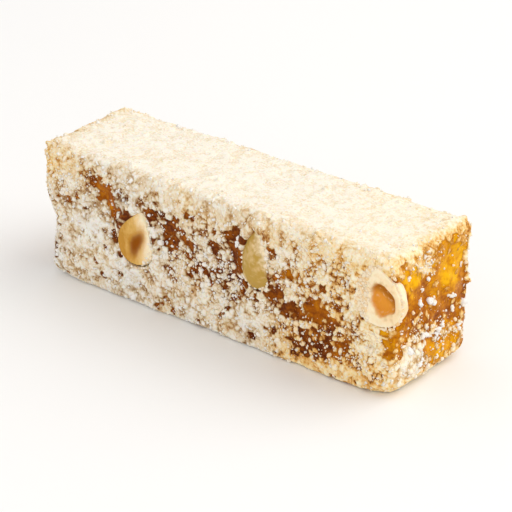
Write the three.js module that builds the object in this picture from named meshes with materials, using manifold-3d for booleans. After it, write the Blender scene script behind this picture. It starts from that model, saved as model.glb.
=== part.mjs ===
// A bar of hazelnut lokum: soft amber jelly cut from a slab, with hazelnut kernels set in it and
// a crust of sugar and starch on every face. Millimetres, +Z up. +X runs along the bar towards its
// golden end, and the long cut side that shows the kernels best faces -Y.
import * as THREE from 'three';
import { mergeVertices } from 'three/addons/utils/BufferGeometryUtils.js';
import Module from 'manifold-3d';

const wasm = await Module();
wasm.setup();

// The bar, measured over its crust
const LENGTH = 85;
const WIDTH = 24.3;
const HEIGHT = 28.5;
const CELL = 1.9;

// Its edges, soft at the top and pressed sharper on the board below
const TOP_EDGE_RADIUS = 2.2;
const BASE_EDGE_RADIUS = 1;
const HEEL_RADIUS = 4;
const TOE_RADIUS = 2.8;
const HEEL_HEIGHT = 8;
const HEEL_REACH = 9;

// The -X end leans out at the top and is pinched in below
const END_LEAN = 1;
const WAIST_DEPTH = 2;
const WAIST_HEIGHT = 11.5;
const WAIST_SPAN = 3.4;
const END_REACH = 7;

// Lumps of the crust, and the hollows where bare jelly shows between them
const SIDE_RELIEF = 0.6;
const TOP_RELIEF = 0.25;
const GRIT_SHARE = 0.6;
const WAVE_COUNT = 14;
const SHORTEST_WAVE = 4;
const LONGEST_WAVE = 15;
const HOLLOW_DEPTH = 0.7;
const SIDE_HOLLOWS = [
  { along: -26.8, up: 21, width: 4, height: 7 },
  { along: -10.5, up: 18, width: 9, height: 4.5 },
  { along: 3, up: 12.5, width: 9, height: 4.5 },
  { along: 6, up: 21, width: 3.5, height: 6 },
  { along: 15.5, up: 12, width: 4, height: 4 },
  { along: 19, up: 19, width: 3.5, height: 3 },
  { along: 19.5, up: 11, width: 5, height: 3 },
  { along: 26, up: 12.5, width: 7, height: 5 },
  { along: 31.5, up: 7.5, width: 3.5, height: 3.5 },
];
const END_HOLLOWS = [
  { along: -8, up: 22.5, width: 7, height: 6 },
  { along: -2, up: 18, width: 7, height: 6 },
  { along: 4, up: 14, width: 7, height: 6 },
  { along: 9, up: 11, width: 6, height: 5 },
];

// Sugar crumbs large enough to stand out of the crust
const CRUMB_COUNT = 60;
const CRUMB_RADIUS = 0.75;
const CRUMB_SPREAD = 0.5;
const CRUMB_SQUASH = 0.35;
const CRUMB_MARGIN = 2.5;

// Hazelnut kernels. Each one lies in a socket of its own, with its cut face a little proud.
const SOCKET_GAP = 0.3;
const CUT_PROUD = 0.5;
const KERNEL_SIDES = 16;
const KERNEL_RINGS = 10;
const KERNEL_TAPER = 0.14;
const KERNEL_TIP = 0.14;
const KERNEL_TIP_POWER = 6;
const CAVITY_SHARE = 0.26;
const CAVITY_SIDES = 10;
const CAVITY_RINGS = 6;

// The way that each upright face looks, as a turn about Z from +Y, and its distance from the middle
const FACES = {
  front: { turn: Math.PI, reach: WIDTH / 2 },
  back: { turn: 0, reach: WIDTH / 2 },
  leftEnd: { turn: Math.PI / 2, reach: LENGTH / 2 },
};

// along and up place a kernel on its face, sunk is how far its middle lies behind that face, and
// lean tips its point sideways. A cut kernel is sliced off with the face and shows its hollow, which
// lies beside its middle by hollowShift.
const KERNELS = [
  { name: 'hazelnut_front_left', face: 'front', along: -18.6, up: 14.2, width: 9.2, depth: 9, length: 13,
    sunk: 1.8, lean: 14, cut: true, hollowShift: -0.5 },
  { name: 'hazelnut_front_middle', face: 'front', along: 10.8, up: 18.9, width: 8, depth: 5.6, length: 14.2,
    sunk: 1.5, lean: 2, cut: false },
  { name: 'hazelnut_front_corner', face: 'front', along: 38.6, up: 20, width: 10.6, depth: 6.8, length: 11.6,
    sunk: 0.7, lean: -8, cut: true, hollowShift: -0.5 },
  { name: 'hazelnut_back_right', face: 'back', along: 24, up: 14.5, width: 10.6, depth: 9.6, length: 12,
    sunk: 1.9, lean: 30, cut: true, hollowShift: 0 },
  { name: 'hazelnut_back_middle', face: 'back', along: -3, up: 18, width: 8.2, depth: 7.6, length: 12.4,
    sunk: 2.5, lean: -12, cut: false },
  { name: 'hazelnut_back_left', face: 'back', along: -29, up: 12.6, width: 9.6, depth: 9.4, length: 12.4,
    sunk: 1.8, lean: -25, cut: true, hollowShift: 0 },
  { name: 'hazelnut_left_end', face: 'leftEnd', along: 2.6, up: 19.2, width: 10.4, depth: 9.6, length: 11.8,
    sunk: 1.7, lean: 15, cut: true, hollowShift: 0 },
];

const JELLY_COLOUR = 0xd8a45c;
const JELLY_ROUGHNESS = 0.7;
const KERNEL_COLOUR = 0xf0d9ac;
const KERNEL_ROUGHNESS = 0.55;
const WELD_DISTANCE = 1e-4;
const RANDOM_SEED = 1907;
const RANDOM_FACTOR = 16807;
const RANDOM_MODULUS = 2147483647;
const GRIT_DIRECTION = new THREE.Vector3(12.9898, 78.233, 37.719);
const GRIT_SCATTER = 43758.5453;
const UP = new THREE.Vector3(0, 0, 1);

// A repeatable stream of numbers from 0 to 1.
function seededRandom(seed) {
  let state = seed;
  return () => {
    state = (state * RANDOM_FACTOR) % RANDOM_MODULUS;
    return state / RANDOM_MODULUS;
  };
}

const random = seededRandom(RANDOM_SEED);

function between(low, high) {
  return low + (high - low) * random();
}

function randomDirection() {
  return new THREE.Vector3().setFromSphericalCoords(1, Math.acos(between(-1, 1)), between(0, 2 * Math.PI));
}

// A closed three.js geometry as a solid that can be cut and joined.
function toSolid(geometry) {
  const bare = geometry.clone();
  bare.deleteAttribute('normal');
  bare.deleteAttribute('uv');
  const merged = mergeVertices(bare, WELD_DISTANCE);
  const corners = [];
  for (let i = 0; i < merged.index.count; i += 3) {
    const [a, b, c] = merged.index.array.slice(i, i + 3);
    if (a !== b && b !== c && c !== a) {
      corners.push(a, b, c);
    }
  }
  const vertProperties = new Float32Array(merged.attributes.position.array);
  const triVerts = new Uint32Array(corners);
  return new wasm.Manifold(new wasm.Mesh({ numProp: 3, vertProperties, triVerts }));
}

function toGeometry(solid) {
  const mesh = solid.getMesh();
  const geometry = new THREE.BufferGeometry();
  geometry.setAttribute('position', new THREE.BufferAttribute(new Float32Array(mesh.vertProperties), 3));
  geometry.setIndex(new THREE.BufferAttribute(new Uint32Array(mesh.triVerts), 1));
  geometry.computeVertexNormals();
  return geometry;
}

const WAVES = Array.from({ length: WAVE_COUNT }, () => ({
  direction: randomDirection().multiplyScalar((2 * Math.PI) / between(SHORTEST_WAVE, LONGEST_WAVE)),
  phase: between(0, 2 * Math.PI),
}));

// Broad swells of the crust, mostly from -1 to 1.
function swell(point) {
  let sum = 0;
  for (const wave of WAVES) {
    sum += Math.sin(wave.direction.dot(point) + wave.phase);
  }
  return sum / Math.sqrt(WAVE_COUNT);
}

// The grains of the crust, a height from -1 to 1 that changes from one place to the next.
function grit(point) {
  const scattered = Math.sin(point.dot(GRIT_DIRECTION)) * GRIT_SCATTER;
  return 2 * (scattered - Math.floor(scattered)) - 1;
}

// How far into a bare patch of jelly a place on an upright face lies, from 0 to 1.
function bareness(hollows, along, up) {
  let most = 0;
  for (const hollow of hollows) {
    const sideways = (along - hollow.along) / (hollow.width / 2);
    const upwards = (up - hollow.up) / (hollow.height / 2);
    most = Math.max(most, Math.exp(-(sideways ** 2) - upwards ** 2));
  }
  return most;
}

// The radius of the edges near a place, largest at the two lower corners of the long side.
function edgeRadius(point) {
  const plain = THREE.MathUtils.lerp(BASE_EDGE_RADIUS, TOP_EDGE_RADIUS, point.z / HEIGHT);
  const low = 1 - THREE.MathUtils.smoothstep(point.z, 0, HEEL_HEIGHT);
  const outward = THREE.MathUtils.smoothstep(Math.abs(point.x), LENGTH / 2 - HEEL_REACH, LENGTH / 2);
  const corner = point.x > 0 ? HEEL_RADIUS : TOE_RADIUS;
  return THREE.MathUtils.lerp(plain, corner, low * outward);
}

// Carries a place on the plain box to the bar's surface, and gives the way that the surface faces.
function surfaceAt(boxPoint) {
  const radius = edgeRadius(boxPoint);
  const inset = new THREE.Vector3(LENGTH / 2 - radius, WIDTH / 2 - radius, 0);
  const core = boxPoint.clone();
  core.x = THREE.MathUtils.clamp(core.x, -inset.x, inset.x);
  core.y = THREE.MathUtils.clamp(core.y, -inset.y, inset.y);
  core.z = THREE.MathUtils.clamp(core.z, radius, HEIGHT - radius);
  const outward = boxPoint.clone().sub(core).normalize();

  const sides = 1 - Math.abs(outward.z);
  const relief = SIDE_RELIEF * sides + TOP_RELIEF * Math.max(outward.z, 0);
  const mirrored = outward.y < 0 ? boxPoint.x : -boxPoint.x;
  const sideBare = bareness(SIDE_HOLLOWS, mirrored, boxPoint.z) * Math.abs(outward.y);
  const endBare = bareness(END_HOLLOWS, boxPoint.y, boxPoint.z) * Math.abs(outward.x);
  const lumps = THREE.MathUtils.lerp(swell(boxPoint), grit(boxPoint), GRIT_SHARE);
  const rise = relief * lumps - HOLLOW_DEPTH * sides * Math.max(sideBare, endBare);
  const point = core.addScaledVector(outward, radius + rise);

  const nearEnd = 1 - THREE.MathUtils.smoothstep(boxPoint.x, -LENGTH / 2, -LENGTH / 2 + END_REACH);
  const pinch = WAIST_DEPTH * Math.exp(-(((boxPoint.z - WAIST_HEIGHT) / WAIST_SPAN) ** 2));
  const lean = END_LEAN * THREE.MathUtils.smoothstep(boxPoint.z, WAIST_HEIGHT, HEIGHT);
  point.x += nearEnd * (pinch - lean);
  point.z = Math.max(point.z, 0);
  return { point, outward };
}

function barBlock() {
  const cells = [LENGTH, WIDTH, HEIGHT].map((side) => Math.round(side / CELL));
  const geometry = new THREE.BoxGeometry(LENGTH, WIDTH, HEIGHT, ...cells);
  geometry.translate(0, 0, HEIGHT / 2);
  const places = geometry.attributes.position;
  for (let i = 0; i < places.count; i += 1) {
    const { point } = surfaceAt(new THREE.Vector3().fromBufferAttribute(places, i));
    places.setXYZ(i, point.x, point.y, point.z);
  }
  return toSolid(geometry);
}

// Half the outline of a kernel, from its blunt base to its point, in a unit box.
function kernelProfile() {
  const outline = [];
  for (let ring = 0; ring <= KERNEL_RINGS; ring += 1) {
    const turn = Math.PI * (1 - ring / KERNEL_RINGS);
    const rise = Math.cos(turn);
    const onAxis = ring === 0 || ring === KERNEL_RINGS;
    const radius = onAxis ? 0 : Math.sin(turn) * (1 - KERNEL_TAPER * rise);
    outline.push(new THREE.Vector2(radius, rise + KERNEL_TIP * Math.max(rise, 0) ** KERNEL_TIP_POWER));
  }
  return outline;
}

// Turns a shape made about a kernel's own middle, with +Y looking out of the bar, into its place.
function placeOnFace(geometry, kernel) {
  const face = FACES[kernel.face];
  const onLongSide = kernel.face === 'front' || kernel.face === 'back';
  const middle = new THREE.Vector3(0, face.reach - kernel.sunk, kernel.up);
  middle.applyAxisAngle(UP, face.turn);
  middle.add(onLongSide ? new THREE.Vector3(kernel.along, 0, 0) : new THREE.Vector3(0, kernel.along, 0));
  geometry.rotateZ(face.turn);
  geometry.translate(middle.x, middle.y, middle.z);
  return geometry;
}

function kernelShape(kernel, growth) {
  const geometry = new THREE.LatheGeometry(kernelProfile(), KERNEL_SIDES);
  geometry.rotateX(Math.PI / 2);
  geometry.scale(kernel.width / 2 + growth, kernel.depth / 2 + growth, kernel.length / 2 + growth);
  geometry.rotateY(THREE.MathUtils.degToRad(kernel.face === 'front' ? -kernel.lean : kernel.lean));
  return toSolid(placeOnFace(geometry, kernel));
}

// The hollow between the two halves of a sliced kernel.
function kernelCavity(kernel) {
  const geometry = new THREE.SphereGeometry(1, CAVITY_SIDES, CAVITY_RINGS);
  geometry.scale(kernel.width * CAVITY_SHARE, kernel.depth * CAVITY_SHARE, kernel.length * CAVITY_SHARE);
  geometry.translate(kernel.hollowShift, kernel.sunk + CUT_PROUD, 0);
  return toSolid(placeOnFace(geometry, kernel));
}

// What the knife leaves of a kernel's surroundings: all that lies behind the cut of its face.
function behindCut(kernel) {
  const face = FACES[kernel.face];
  const geometry = new THREE.BoxGeometry(2 * LENGTH, 2 * (face.reach + CUT_PROUD), 2 * LENGTH);
  geometry.rotateZ(face.turn);
  return toSolid(geometry);
}

function kernelSolid(kernel) {
  const whole = kernelShape(kernel, 0);
  if (!kernel.cut) {
    return whole;
  }
  return whole.intersect(behindCut(kernel)).subtract(kernelCavity(kernel));
}

// A place for a crumb on one of the faces that show, chosen in proportion to their areas.
function crumbPlace() {
  const shares = [LENGTH * HEIGHT, LENGTH * HEIGHT, LENGTH * WIDTH, WIDTH * HEIGHT, WIDTH * HEIGHT];
  let pick = between(0, shares.reduce((sum, share) => sum + share));
  const face = shares.findIndex((share) => {
    pick -= share;
    return pick <= 0;
  });
  const along = between(-LENGTH / 2, LENGTH / 2);
  const across = between(-WIDTH / 2, WIDTH / 2);
  const up = between(CRUMB_MARGIN, HEIGHT);
  const places = [
    new THREE.Vector3(along, -WIDTH / 2, up),
    new THREE.Vector3(along, WIDTH / 2, up),
    new THREE.Vector3(along, across, HEIGHT),
    new THREE.Vector3(-LENGTH / 2, across, up),
    new THREE.Vector3(LENGTH / 2, across, up),
  ];
  return surfaceAt(places[face]).point;
}

function crumbShape(place, radius) {
  const geometry = new THREE.IcosahedronGeometry(radius, 0);
  const squashed = () => 1 - CRUMB_SQUASH * random();
  geometry.scale(squashed(), squashed(), squashed());
  geometry.rotateX(between(0, Math.PI));
  geometry.rotateZ(between(0, Math.PI));
  geometry.translate(place.x, place.y, place.z);
  return toSolid(geometry);
}

// Joins the crumbs to the bar, spaced apart and clear of every kernel.
function addCrumbs(bar) {
  const keepOut = KERNELS.map((kernel) => {
    const bounds = kernelShape(kernel, SOCKET_GAP).boundingBox();
    const box = new THREE.Box3(new THREE.Vector3(...bounds.min), new THREE.Vector3(...bounds.max));
    return box.expandByScalar(CRUMB_RADIUS + CRUMB_SPREAD);
  });
  const taken = [];
  let joined = bar;
  while (taken.length < CRUMB_COUNT) {
    const place = crumbPlace();
    const radius = CRUMB_RADIUS + CRUMB_SPREAD * random() ** 2;
    const crowded = taken.some((other) => other.distanceTo(place) < CRUMB_MARGIN);
    if (!crowded && !keepOut.some((box) => box.containsPoint(place))) {
      joined = joined.add(crumbShape(place, radius));
      taken.push(place);
    }
  }
  return joined;
}

function barSolid() {
  const sockets = KERNELS.map((kernel) => kernelShape(kernel, SOCKET_GAP));
  const socketed = sockets.reduce((bar, socket) => bar.subtract(socket), barBlock());
  return addCrumbs(socketed);
}

function namedMesh(name, solid, colour, roughness) {
  const material = new THREE.MeshStandardMaterial({ color: colour, roughness, metalness: 0 });
  const mesh = new THREE.Mesh(toGeometry(solid), material);
  mesh.name = name;
  return mesh;
}

const lokum = new THREE.Group();
lokum.add(namedMesh('lokum_bar', barSolid(), JELLY_COLOUR, JELLY_ROUGHNESS));
for (const kernel of KERNELS) {
  lokum.add(namedMesh(kernel.name, kernelSolid(kernel), KERNEL_COLOUR, KERNEL_ROUGHNESS));
}

// The origin is the middle of the base.
const extent = new THREE.Box3().setFromObject(lokum);
const centre = extent.getCenter(new THREE.Vector3());
lokum.position.set(-centre.x, -centre.y, -extent.min.z);

export default lokum;
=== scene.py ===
"""One bar of hazelnut lokum: amber jelly, sliced hazelnut kernels, and a crust of sugar and starch."""

import itertools
import logging
import math
from dataclasses import dataclass
from enum import Enum

import bmesh
import bpy
import numpy as np
from mathutils import Euler, Matrix, Vector
from mathutils.bvhtree import BVHTree


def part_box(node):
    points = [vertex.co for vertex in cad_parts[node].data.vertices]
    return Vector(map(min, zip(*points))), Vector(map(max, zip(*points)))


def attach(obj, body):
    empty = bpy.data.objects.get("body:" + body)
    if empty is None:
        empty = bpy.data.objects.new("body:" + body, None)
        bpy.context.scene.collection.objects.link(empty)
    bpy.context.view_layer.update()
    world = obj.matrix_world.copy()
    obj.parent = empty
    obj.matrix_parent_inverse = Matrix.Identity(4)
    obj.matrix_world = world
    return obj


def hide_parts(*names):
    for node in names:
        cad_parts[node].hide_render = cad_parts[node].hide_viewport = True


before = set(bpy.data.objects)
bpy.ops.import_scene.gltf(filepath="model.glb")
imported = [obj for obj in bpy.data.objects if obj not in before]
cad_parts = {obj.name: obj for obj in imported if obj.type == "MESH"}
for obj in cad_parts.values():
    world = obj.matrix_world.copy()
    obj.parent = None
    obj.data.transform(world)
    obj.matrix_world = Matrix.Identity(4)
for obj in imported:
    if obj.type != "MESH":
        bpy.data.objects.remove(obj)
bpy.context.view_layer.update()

MM = 0.001
BODY = "root"
BAR_NODE = "lokum_bar"
log = logging.getLogger("lokum")

Socket = bpy.types.NodeSocket
Colour = tuple[float, float, float, float]
Stops = tuple[tuple[float, Colour], ...]
# A start and an end.
Span = tuple[float, float]
# A start, and what is added to it at a share of 1.
Line = tuple[float, float]

SRGB_KNEE, SRGB_SLOPE, SRGB_LIFT, SRGB_POWER = 0.04045, 12.92, 0.055, 2.4
HASH_STEPS = np.array([73856093, 19349663, 83492791])
HASH_SEED, HASH_MIX, HASH_MASK = 2654435761, 1274126177, 0xFFFF
HASH_SHIFTS = (13, 16)
# The way that an upright face looks before its own turn about Z.
OUTWARD = np.array([0.0, 1.0, 0.0])


def screen_colour(red: int, green: int, blue: int) -> Colour:
    """Gives the shader's colour for a colour as a screen shows it.

    Args:
        red: Red from 0 to 255.
        green: Green from 0 to 255.
        blue: Blue from 0 to 255.

    Returns:
        The colour in linear light, with an alpha of 1.
    """
    shares = [step / 255 for step in (red, green, blue)]
    curved = [((share + SRGB_LIFT) / (1 + SRGB_LIFT)) ** SRGB_POWER for share in shares]
    linear = [s / SRGB_SLOPE if s <= SRGB_KNEE else c for s, c in zip(shares, curved, strict=True)]
    return (*linear, 1.0)


def colour_stops(*rows: tuple[float, int, int, int]) -> Stops:
    """Makes the stops of a ramp from rows of a place from 0 to 1 and a screen colour."""
    return tuple((place, screen_colour(*colour)) for place, *colour in rows)


def ease(values: np.ndarray, start: float, end: float) -> np.ndarray:
    """Gives shares that rise smoothly from 0 at the start to 1 at the end, which may be the lower one."""
    share = np.clip((values - start) / (end - start), 0, 1)
    return share * share * (3 - 2 * share)


def on_line(line: Line, share: np.ndarray) -> np.ndarray:
    """Gives a line's number at each share."""
    return line[0] + line[1] * share


def draw_cells(cells: np.ndarray, seed: int) -> np.ndarray:
    """Draws a repeatable number from 0 to 1 for each cell of a lattice.

    Args:
        cells: The cells' whole numbers, three to a row.
        seed: Tells one set of numbers from another.

    Returns:
        A number for each cell.
    """
    mixed = cells @ HASH_STEPS + HASH_SEED * seed
    mixed = (mixed ^ (mixed >> HASH_SHIFTS[0])) * HASH_MIX
    mixed = mixed ^ (mixed >> HASH_SHIFTS[1])
    return (mixed & HASH_MASK) / HASH_MASK


@dataclass(frozen=True)
class Mottle:
    """Smooth random swells in space, of about one width."""

    wavelength: float
    seed: int
    seed_shift: float = 17.31

    def at(self, places: np.ndarray) -> np.ndarray:
        """Gives the swell at each place.

        Args:
            places: Points in metres, one to a row.

        Returns:
            A number from 0 to 1 for each point.
        """
        scaled = places / self.wavelength + self.seed_shift * self.seed
        cell = np.floor(scaled).astype(np.int64)
        blend = ease(scaled - cell, 0, 1)
        total = np.zeros(len(places))
        for corner in itertools.product((0, 1), repeat=3):
            weight = np.prod(np.where(corner, blend, 1 - blend), axis=1)
            total += weight * draw_cells(cell + np.array(corner), self.seed)
        return total

    def swing(self, places: np.ndarray, size: float) -> np.ndarray:
        """Gives swells around 0 at each place, of a size from the lowest to the highest."""
        return size * (self.at(places) - 0.5)


@dataclass(frozen=True)
class Granules:
    """Angular granules packed side by side in space, of about one width."""

    width: float
    seed: int

    def nearest(self, places: np.ndarray) -> tuple[np.ndarray, np.ndarray, np.ndarray]:
        """Finds the granule that each place belongs to.

        Args:
            places: Points in metres, one to a row.

        Returns:
            The granules' middles and how far inside its edge each place lies, both in metres, and a
            number from 0 to 1 that is the granule's own.
        """
        scaled = places / self.width
        home = np.floor(scaled).astype(np.int64)
        first, second = np.full((2, len(places)), np.inf)
        middles, own = np.zeros_like(places), np.zeros(len(places))
        for step in itertools.product((-1, 0, 1), repeat=3):
            cells = home + np.array(step)
            middle = cells + np.stack([draw_cells(cells, self.seed + axis) for axis in range(3)], axis=1)
            away = np.linalg.norm(scaled - middle, axis=1)
            closer = away < first
            second = np.where(closer, first, np.minimum(second, away))
            first = np.where(closer, away, first)
            middles[closer] = middle[closer]
            own[closer] = draw_cells(cells[closer], self.seed + 3)
        return middles * self.width, (second - first) / 2 * self.width, own


class Facing(Enum):
    """The bar's faces, each with its turn about Z from +Y, and the axis and sign of the way it looks."""

    FRONT = (math.pi, 1, -1)
    BACK = (0.0, 1, 1)
    LEFT_END = (math.pi / 2, 0, -1)
    RIGHT_END = (-math.pi / 2, 0, 1)
    TOP = (None, 2, 1)
    BASE = (None, 2, -1)

    def __init__(self, turn: float | None, axis: int, sign: int) -> None:
        """Names the turn in radians, which the top and the base don't have, the axis and the sign."""
        self.turn, self.axis, self.sign = turn, axis, sign


@dataclass(frozen=True)
class BarFaces:
    """The planes of the bar's faces, under the crumbs and the proud cuts of the kernels."""

    low: np.ndarray
    high: np.ndarray
    softness: float = 1.3 * MM

    @classmethod
    def of_frame(
        cls, length: float = 85 * MM, height: float = 28.5 * MM, proud: float = 0.5 * MM
    ) -> "BarFaces":
        """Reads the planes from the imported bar.

        Args:
            length: The bar's length between its ends.
            height: The height of its top.
            proud: How far a kernel's cut stands out of its face.

        Returns:
            The faces of the bar.
        """
        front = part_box("hazelnut_front_left")[0].y + proud
        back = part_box("hazelnut_back_left")[1].y - proud
        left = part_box("hazelnut_left_end")[0].x + proud
        return cls(np.array([left, front, 0.0]), np.array([left + length, back, height]))

    @property
    def middle(self) -> np.ndarray:
        """The middle of the bar."""
        return (self.low + self.high) / 2

    def plane(self, face: Facing) -> float:
        """Gives how far out from the frame's origin a face lies, in metres along the way that it looks."""
        outer = self.high if face.sign > 0 else self.low
        return face.sign * outer[face.axis]

    def depths(self, places: np.ndarray) -> dict[Facing, np.ndarray]:
        """Gives how far behind each face the places lie, in metres."""
        return {face: self.plane(face) - face.sign * places[:, face.axis] for face in Facing}

    def least_depth(self, places: np.ndarray) -> np.ndarray:
        """Gives how far behind the nearest face each place lies, in metres."""
        return np.min(np.array(list(self.depths(places).values())), axis=0)

    def shares(self, places: np.ndarray) -> dict[Facing, np.ndarray]:
        """Gives how much each place belongs to each face.

        Args:
            places: Points on the bar's surface, in metres.

        Returns:
            A share from 0 to 1 for each face and point. The shares of a point add up to 1.
        """
        raw = {face: np.exp(-np.abs(depth) / self.softness) for face, depth in self.depths(places).items()}
        total = sum(raw.values())
        return {face: share / total for face, share in raw.items()}

    def along(self, places: np.ndarray, face: Facing) -> np.ndarray:
        """Gives millimetres along an upright face, the back and left end being turned half round."""
        x, y = ((places - self.middle) / MM).T[:2]
        return {Facing.FRONT: x, Facing.BACK: -x, Facing.RIGHT_END: y, Facing.LEFT_END: -y}[face]


@dataclass(frozen=True)
class Patch:
    """A ragged oval on an upright face, in millimetres, and how strongly it marks the face."""

    along: float
    up: float
    width: float
    height: float
    tilt: float = 0.0
    amount: float = 0.7
    fray: Line = (0.55, 0.9)
    rim: Span = (1.3, 0.65)

    def share(self, along: np.ndarray, up: np.ndarray, ragged: np.ndarray) -> np.ndarray:
        """Gives how strongly the patch marks each place.

        Args:
            along: Distances along the face from its middle.
            up: Heights above the base.
            ragged: Random numbers from 0 to 1 that fray the patch's edge.

        Returns:
            Numbers from 0, outside, to the patch's amount, inside.
        """
        turn = math.radians(self.tilt)
        aside, above = along - self.along, up - self.up
        across = (aside * math.cos(turn) + above * math.sin(turn)) / (self.width / 2)
        upright = (above * math.cos(turn) - aside * math.sin(turn)) / (self.height / 2)
        reach = np.hypot(across, upright) * on_line(self.fray, ragged)
        return self.amount * ease(reach, *self.rim)


def patches(*rows: tuple[float, ...]) -> tuple[Patch, ...]:
    """Makes patches from rows of along, up, width, height and, where they matter, tilt and amount."""
    return tuple(Patch(*row) for row in rows)


class Mark(Enum):
    """The ways in which a patch changes its face."""

    BARE = "jelly without a crust"
    THICK = "thick crust"
    SMOOTH = "crust pressed smooth"
    GOLDEN = "golden jelly"
    CLUMPED = "clumps on bare jelly"


SIDE_MARKS = {
    Mark.BARE: patches(
        (-26.8, 21.4, 9, 4.7, -52, 1), (-29.2, 20, 4, 2.4, 20, 0.4), (-24.4, 17, 5, 1, -40),
        (-21.6, 19.4, 3.4, 4, 30), (-14.6, 20.4, 3.4, 2, 5), (-10.6, 19, 3.2, 5, 18, 0.8),
        (-9.6, 15.8, 3, 2.2, 20, 0.6), (-6.6, 17.6, 3.2, 2), (-10.2, 18, 13, 7, 0, 0.26),
        (-5, 22.6, 5, 1.8, 0, 0.3), (1.4, 19.2, 3.4, 2.4, 0, 0.5), (2.5, 12.4, 16, 6, 0, 0.3),
        (7, 13.6, 6, 2.6, -20, 0.55), (-1, 10.5, 4, 1.6, 10, 0.55), (-6, 11.4, 3.4, 3.6, 0, 0.34),
        (5.8, 21.6, 4.2, 6.2, -10, 1), (7, 16.6, 2.6, 3.6, 0, 0.5), (15, 13.2, 4, 4.6, -25, 0.8),
        (18.4, 11.2, 7.4, 3, 6, 0.75), (25, 13, 6, 4.6, 25, 0.8), (29.2, 12.4, 5.6, 3.8, 40),
        (18.6, 19, 5.6, 4.2, 0, 0.34), (22.5, 24, 5, 2.4, 0, 0.36), (25.6, 19.6, 6.4, 1.8, -60, 0.5),
        (30.6, 19, 4, 6, 0, 0.27), (31.5, 7.5, 4, 4, 0, 0.75), (14.6, 5.5, 6, 2.4, 20, 0.5),
        (18.6, 3.6, 6, 3, 0, 0.48), (25, 6.2, 12, 5, 0, 0.4), (30.6, 4.6, 5, 2.6, 0, 0.4),
        (29, 0.8, 26, 3, 3, 0.3), (41.4, 13.2, 4, 6, 10, 0.65), (-3.6, 2, 4, 1.6, 30, 0.4),
    ),
    Mark.THICK: patches(
        (-32, 12.2, 18, 14, 0, 0.2), (-30, 5, 22, 8, 0, 0.15), (1, 6, 30, 7, 0, 0.14),
        (26, 23, 24, 11, 0, 0.46), (34, 17, 8, 20, 0, 0.46), (36, 8, 10, 10, 0, 0.42),
        (-36.5, 20, 10, 6, 0, 0.24),
    ),
    Mark.SMOOTH: patches(
        (-32.5, 12, 17, 13, 0, 0.5), (-26, 6.5, 10, 6, 0, 0.5), (29, 1, 24, 4.4, 4, 0.8),
        (-30, 10, 26, 24, 0, 0.35), (0, 5.5, 30, 7, 0, 0.35), (-10, 26, 34, 7, 0, 0.3),
    ),
    Mark.GOLDEN: patches(
        (-27, 21.4, 8, 10, 0, 0.2), (25, 13, 8, 7, 0, 0.18), (31.5, 7.5, 7, 7, 0, 0.25),
        (41, 14, 7, 10, 0, 0.5), (19, 19, 9, 7, 0, 0.25), (23, 24, 9, 6, 0, 0.3),
        (-39, 24, 13, 12, 0, 0.6),
    ),
    Mark.CLUMPED: patches((0.5, 12.4, 23, 9, 0, 1), (22, 5.4, 24, 8, 0, 0.5), (-12, 14, 8, 6, 0, 0.5)),
}
END_MARKS = {
    Mark.BARE: patches(
        (-9, 22.8, 8, 7, -36, 0.9), (-4, 19.2, 8, 7, -36, 0.9), (1.9, 15.4, 9, 7.4, -34, 0.9),
        (7, 12.2, 9, 7, -30, 0.9), (11, 10.6, 5, 5, -30, 0.9), (5, 22.6, 10, 13, 0, 0.8),
        (8, 17.6, 8, 8, 0, 0.8), (-8.4, 14, 3.4, 6, 0, 0.54), (-11, 13.4, 5, 6, 0, 0.61),
        (0, 6.8, 11, 4.4, -25, 0.35), (8, 5, 8, 5, -20, 0.05), (10, 8.6, 5, 5, 0, 0.3),
    ),
    Mark.THICK: patches(
        (11.8, 20, 3, 13, 0, 0.9), (-8.2, 4.6, 11, 10, 0, 0.7), (-4.5, 24.6, 12, 7, -10, 0.34),
        (-3, 10.4, 8, 4, -35, 0.3),
    ),
    Mark.SMOOTH: patches((5, 22, 9, 11, 0, 0.5), (-8.2, 4.6, 10, 9, 0, 0.5)),
    # Golden patches on the ends are partly painted glow of light shining through the jelly.
    Mark.GOLDEN: patches(
        (5.6, 22, 16, 19, 0, 0.22), (5.6, 22.8, 11, 13, 0, 0.42), (-5, 25, 12, 8, 0, 0.6),
        (4, 5, 20, 8, 0, 0.35),
    ),
    Mark.CLUMPED: patches((0, 9, 20, 9, -20, 0.5)),
}
MARKS = {
    Facing.FRONT: SIDE_MARKS,
    Facing.BACK: SIDE_MARKS,
    Facing.LEFT_END: END_MARKS,
    Facing.RIGHT_END: END_MARKS,
}


class Zone(Enum):
    """The parts of the bar that a stain keeps to."""

    ALL = "everywhere"
    SIDES = "off the ends"
    ENDS = "on the ends"
    OFF_TOP = "off the top"


@dataclass(frozen=True)
class Stain:
    """A change of the crust that grows over spans of the bar's length, width and height, in millimetres."""

    amount: float
    zone: Zone = Zone.ALL
    along: Span | None = None
    across: Span | None = None
    up: Span | None = None

    def at(self, spots: np.ndarray) -> np.ndarray:
        """Gives how strong the stain is at each spot.

        Args:
            spots: Millimetres along, across and up from the middle of the bar's base, one spot to a row.

        Returns:
            Numbers from 0 to the stain's amount.
        """
        strength = np.full(len(spots), self.amount)
        for distances, span in zip(spots.T, (self.along, self.across, self.up), strict=True):
            if span:
                strength *= ease(distances, *span)
        return strength


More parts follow.
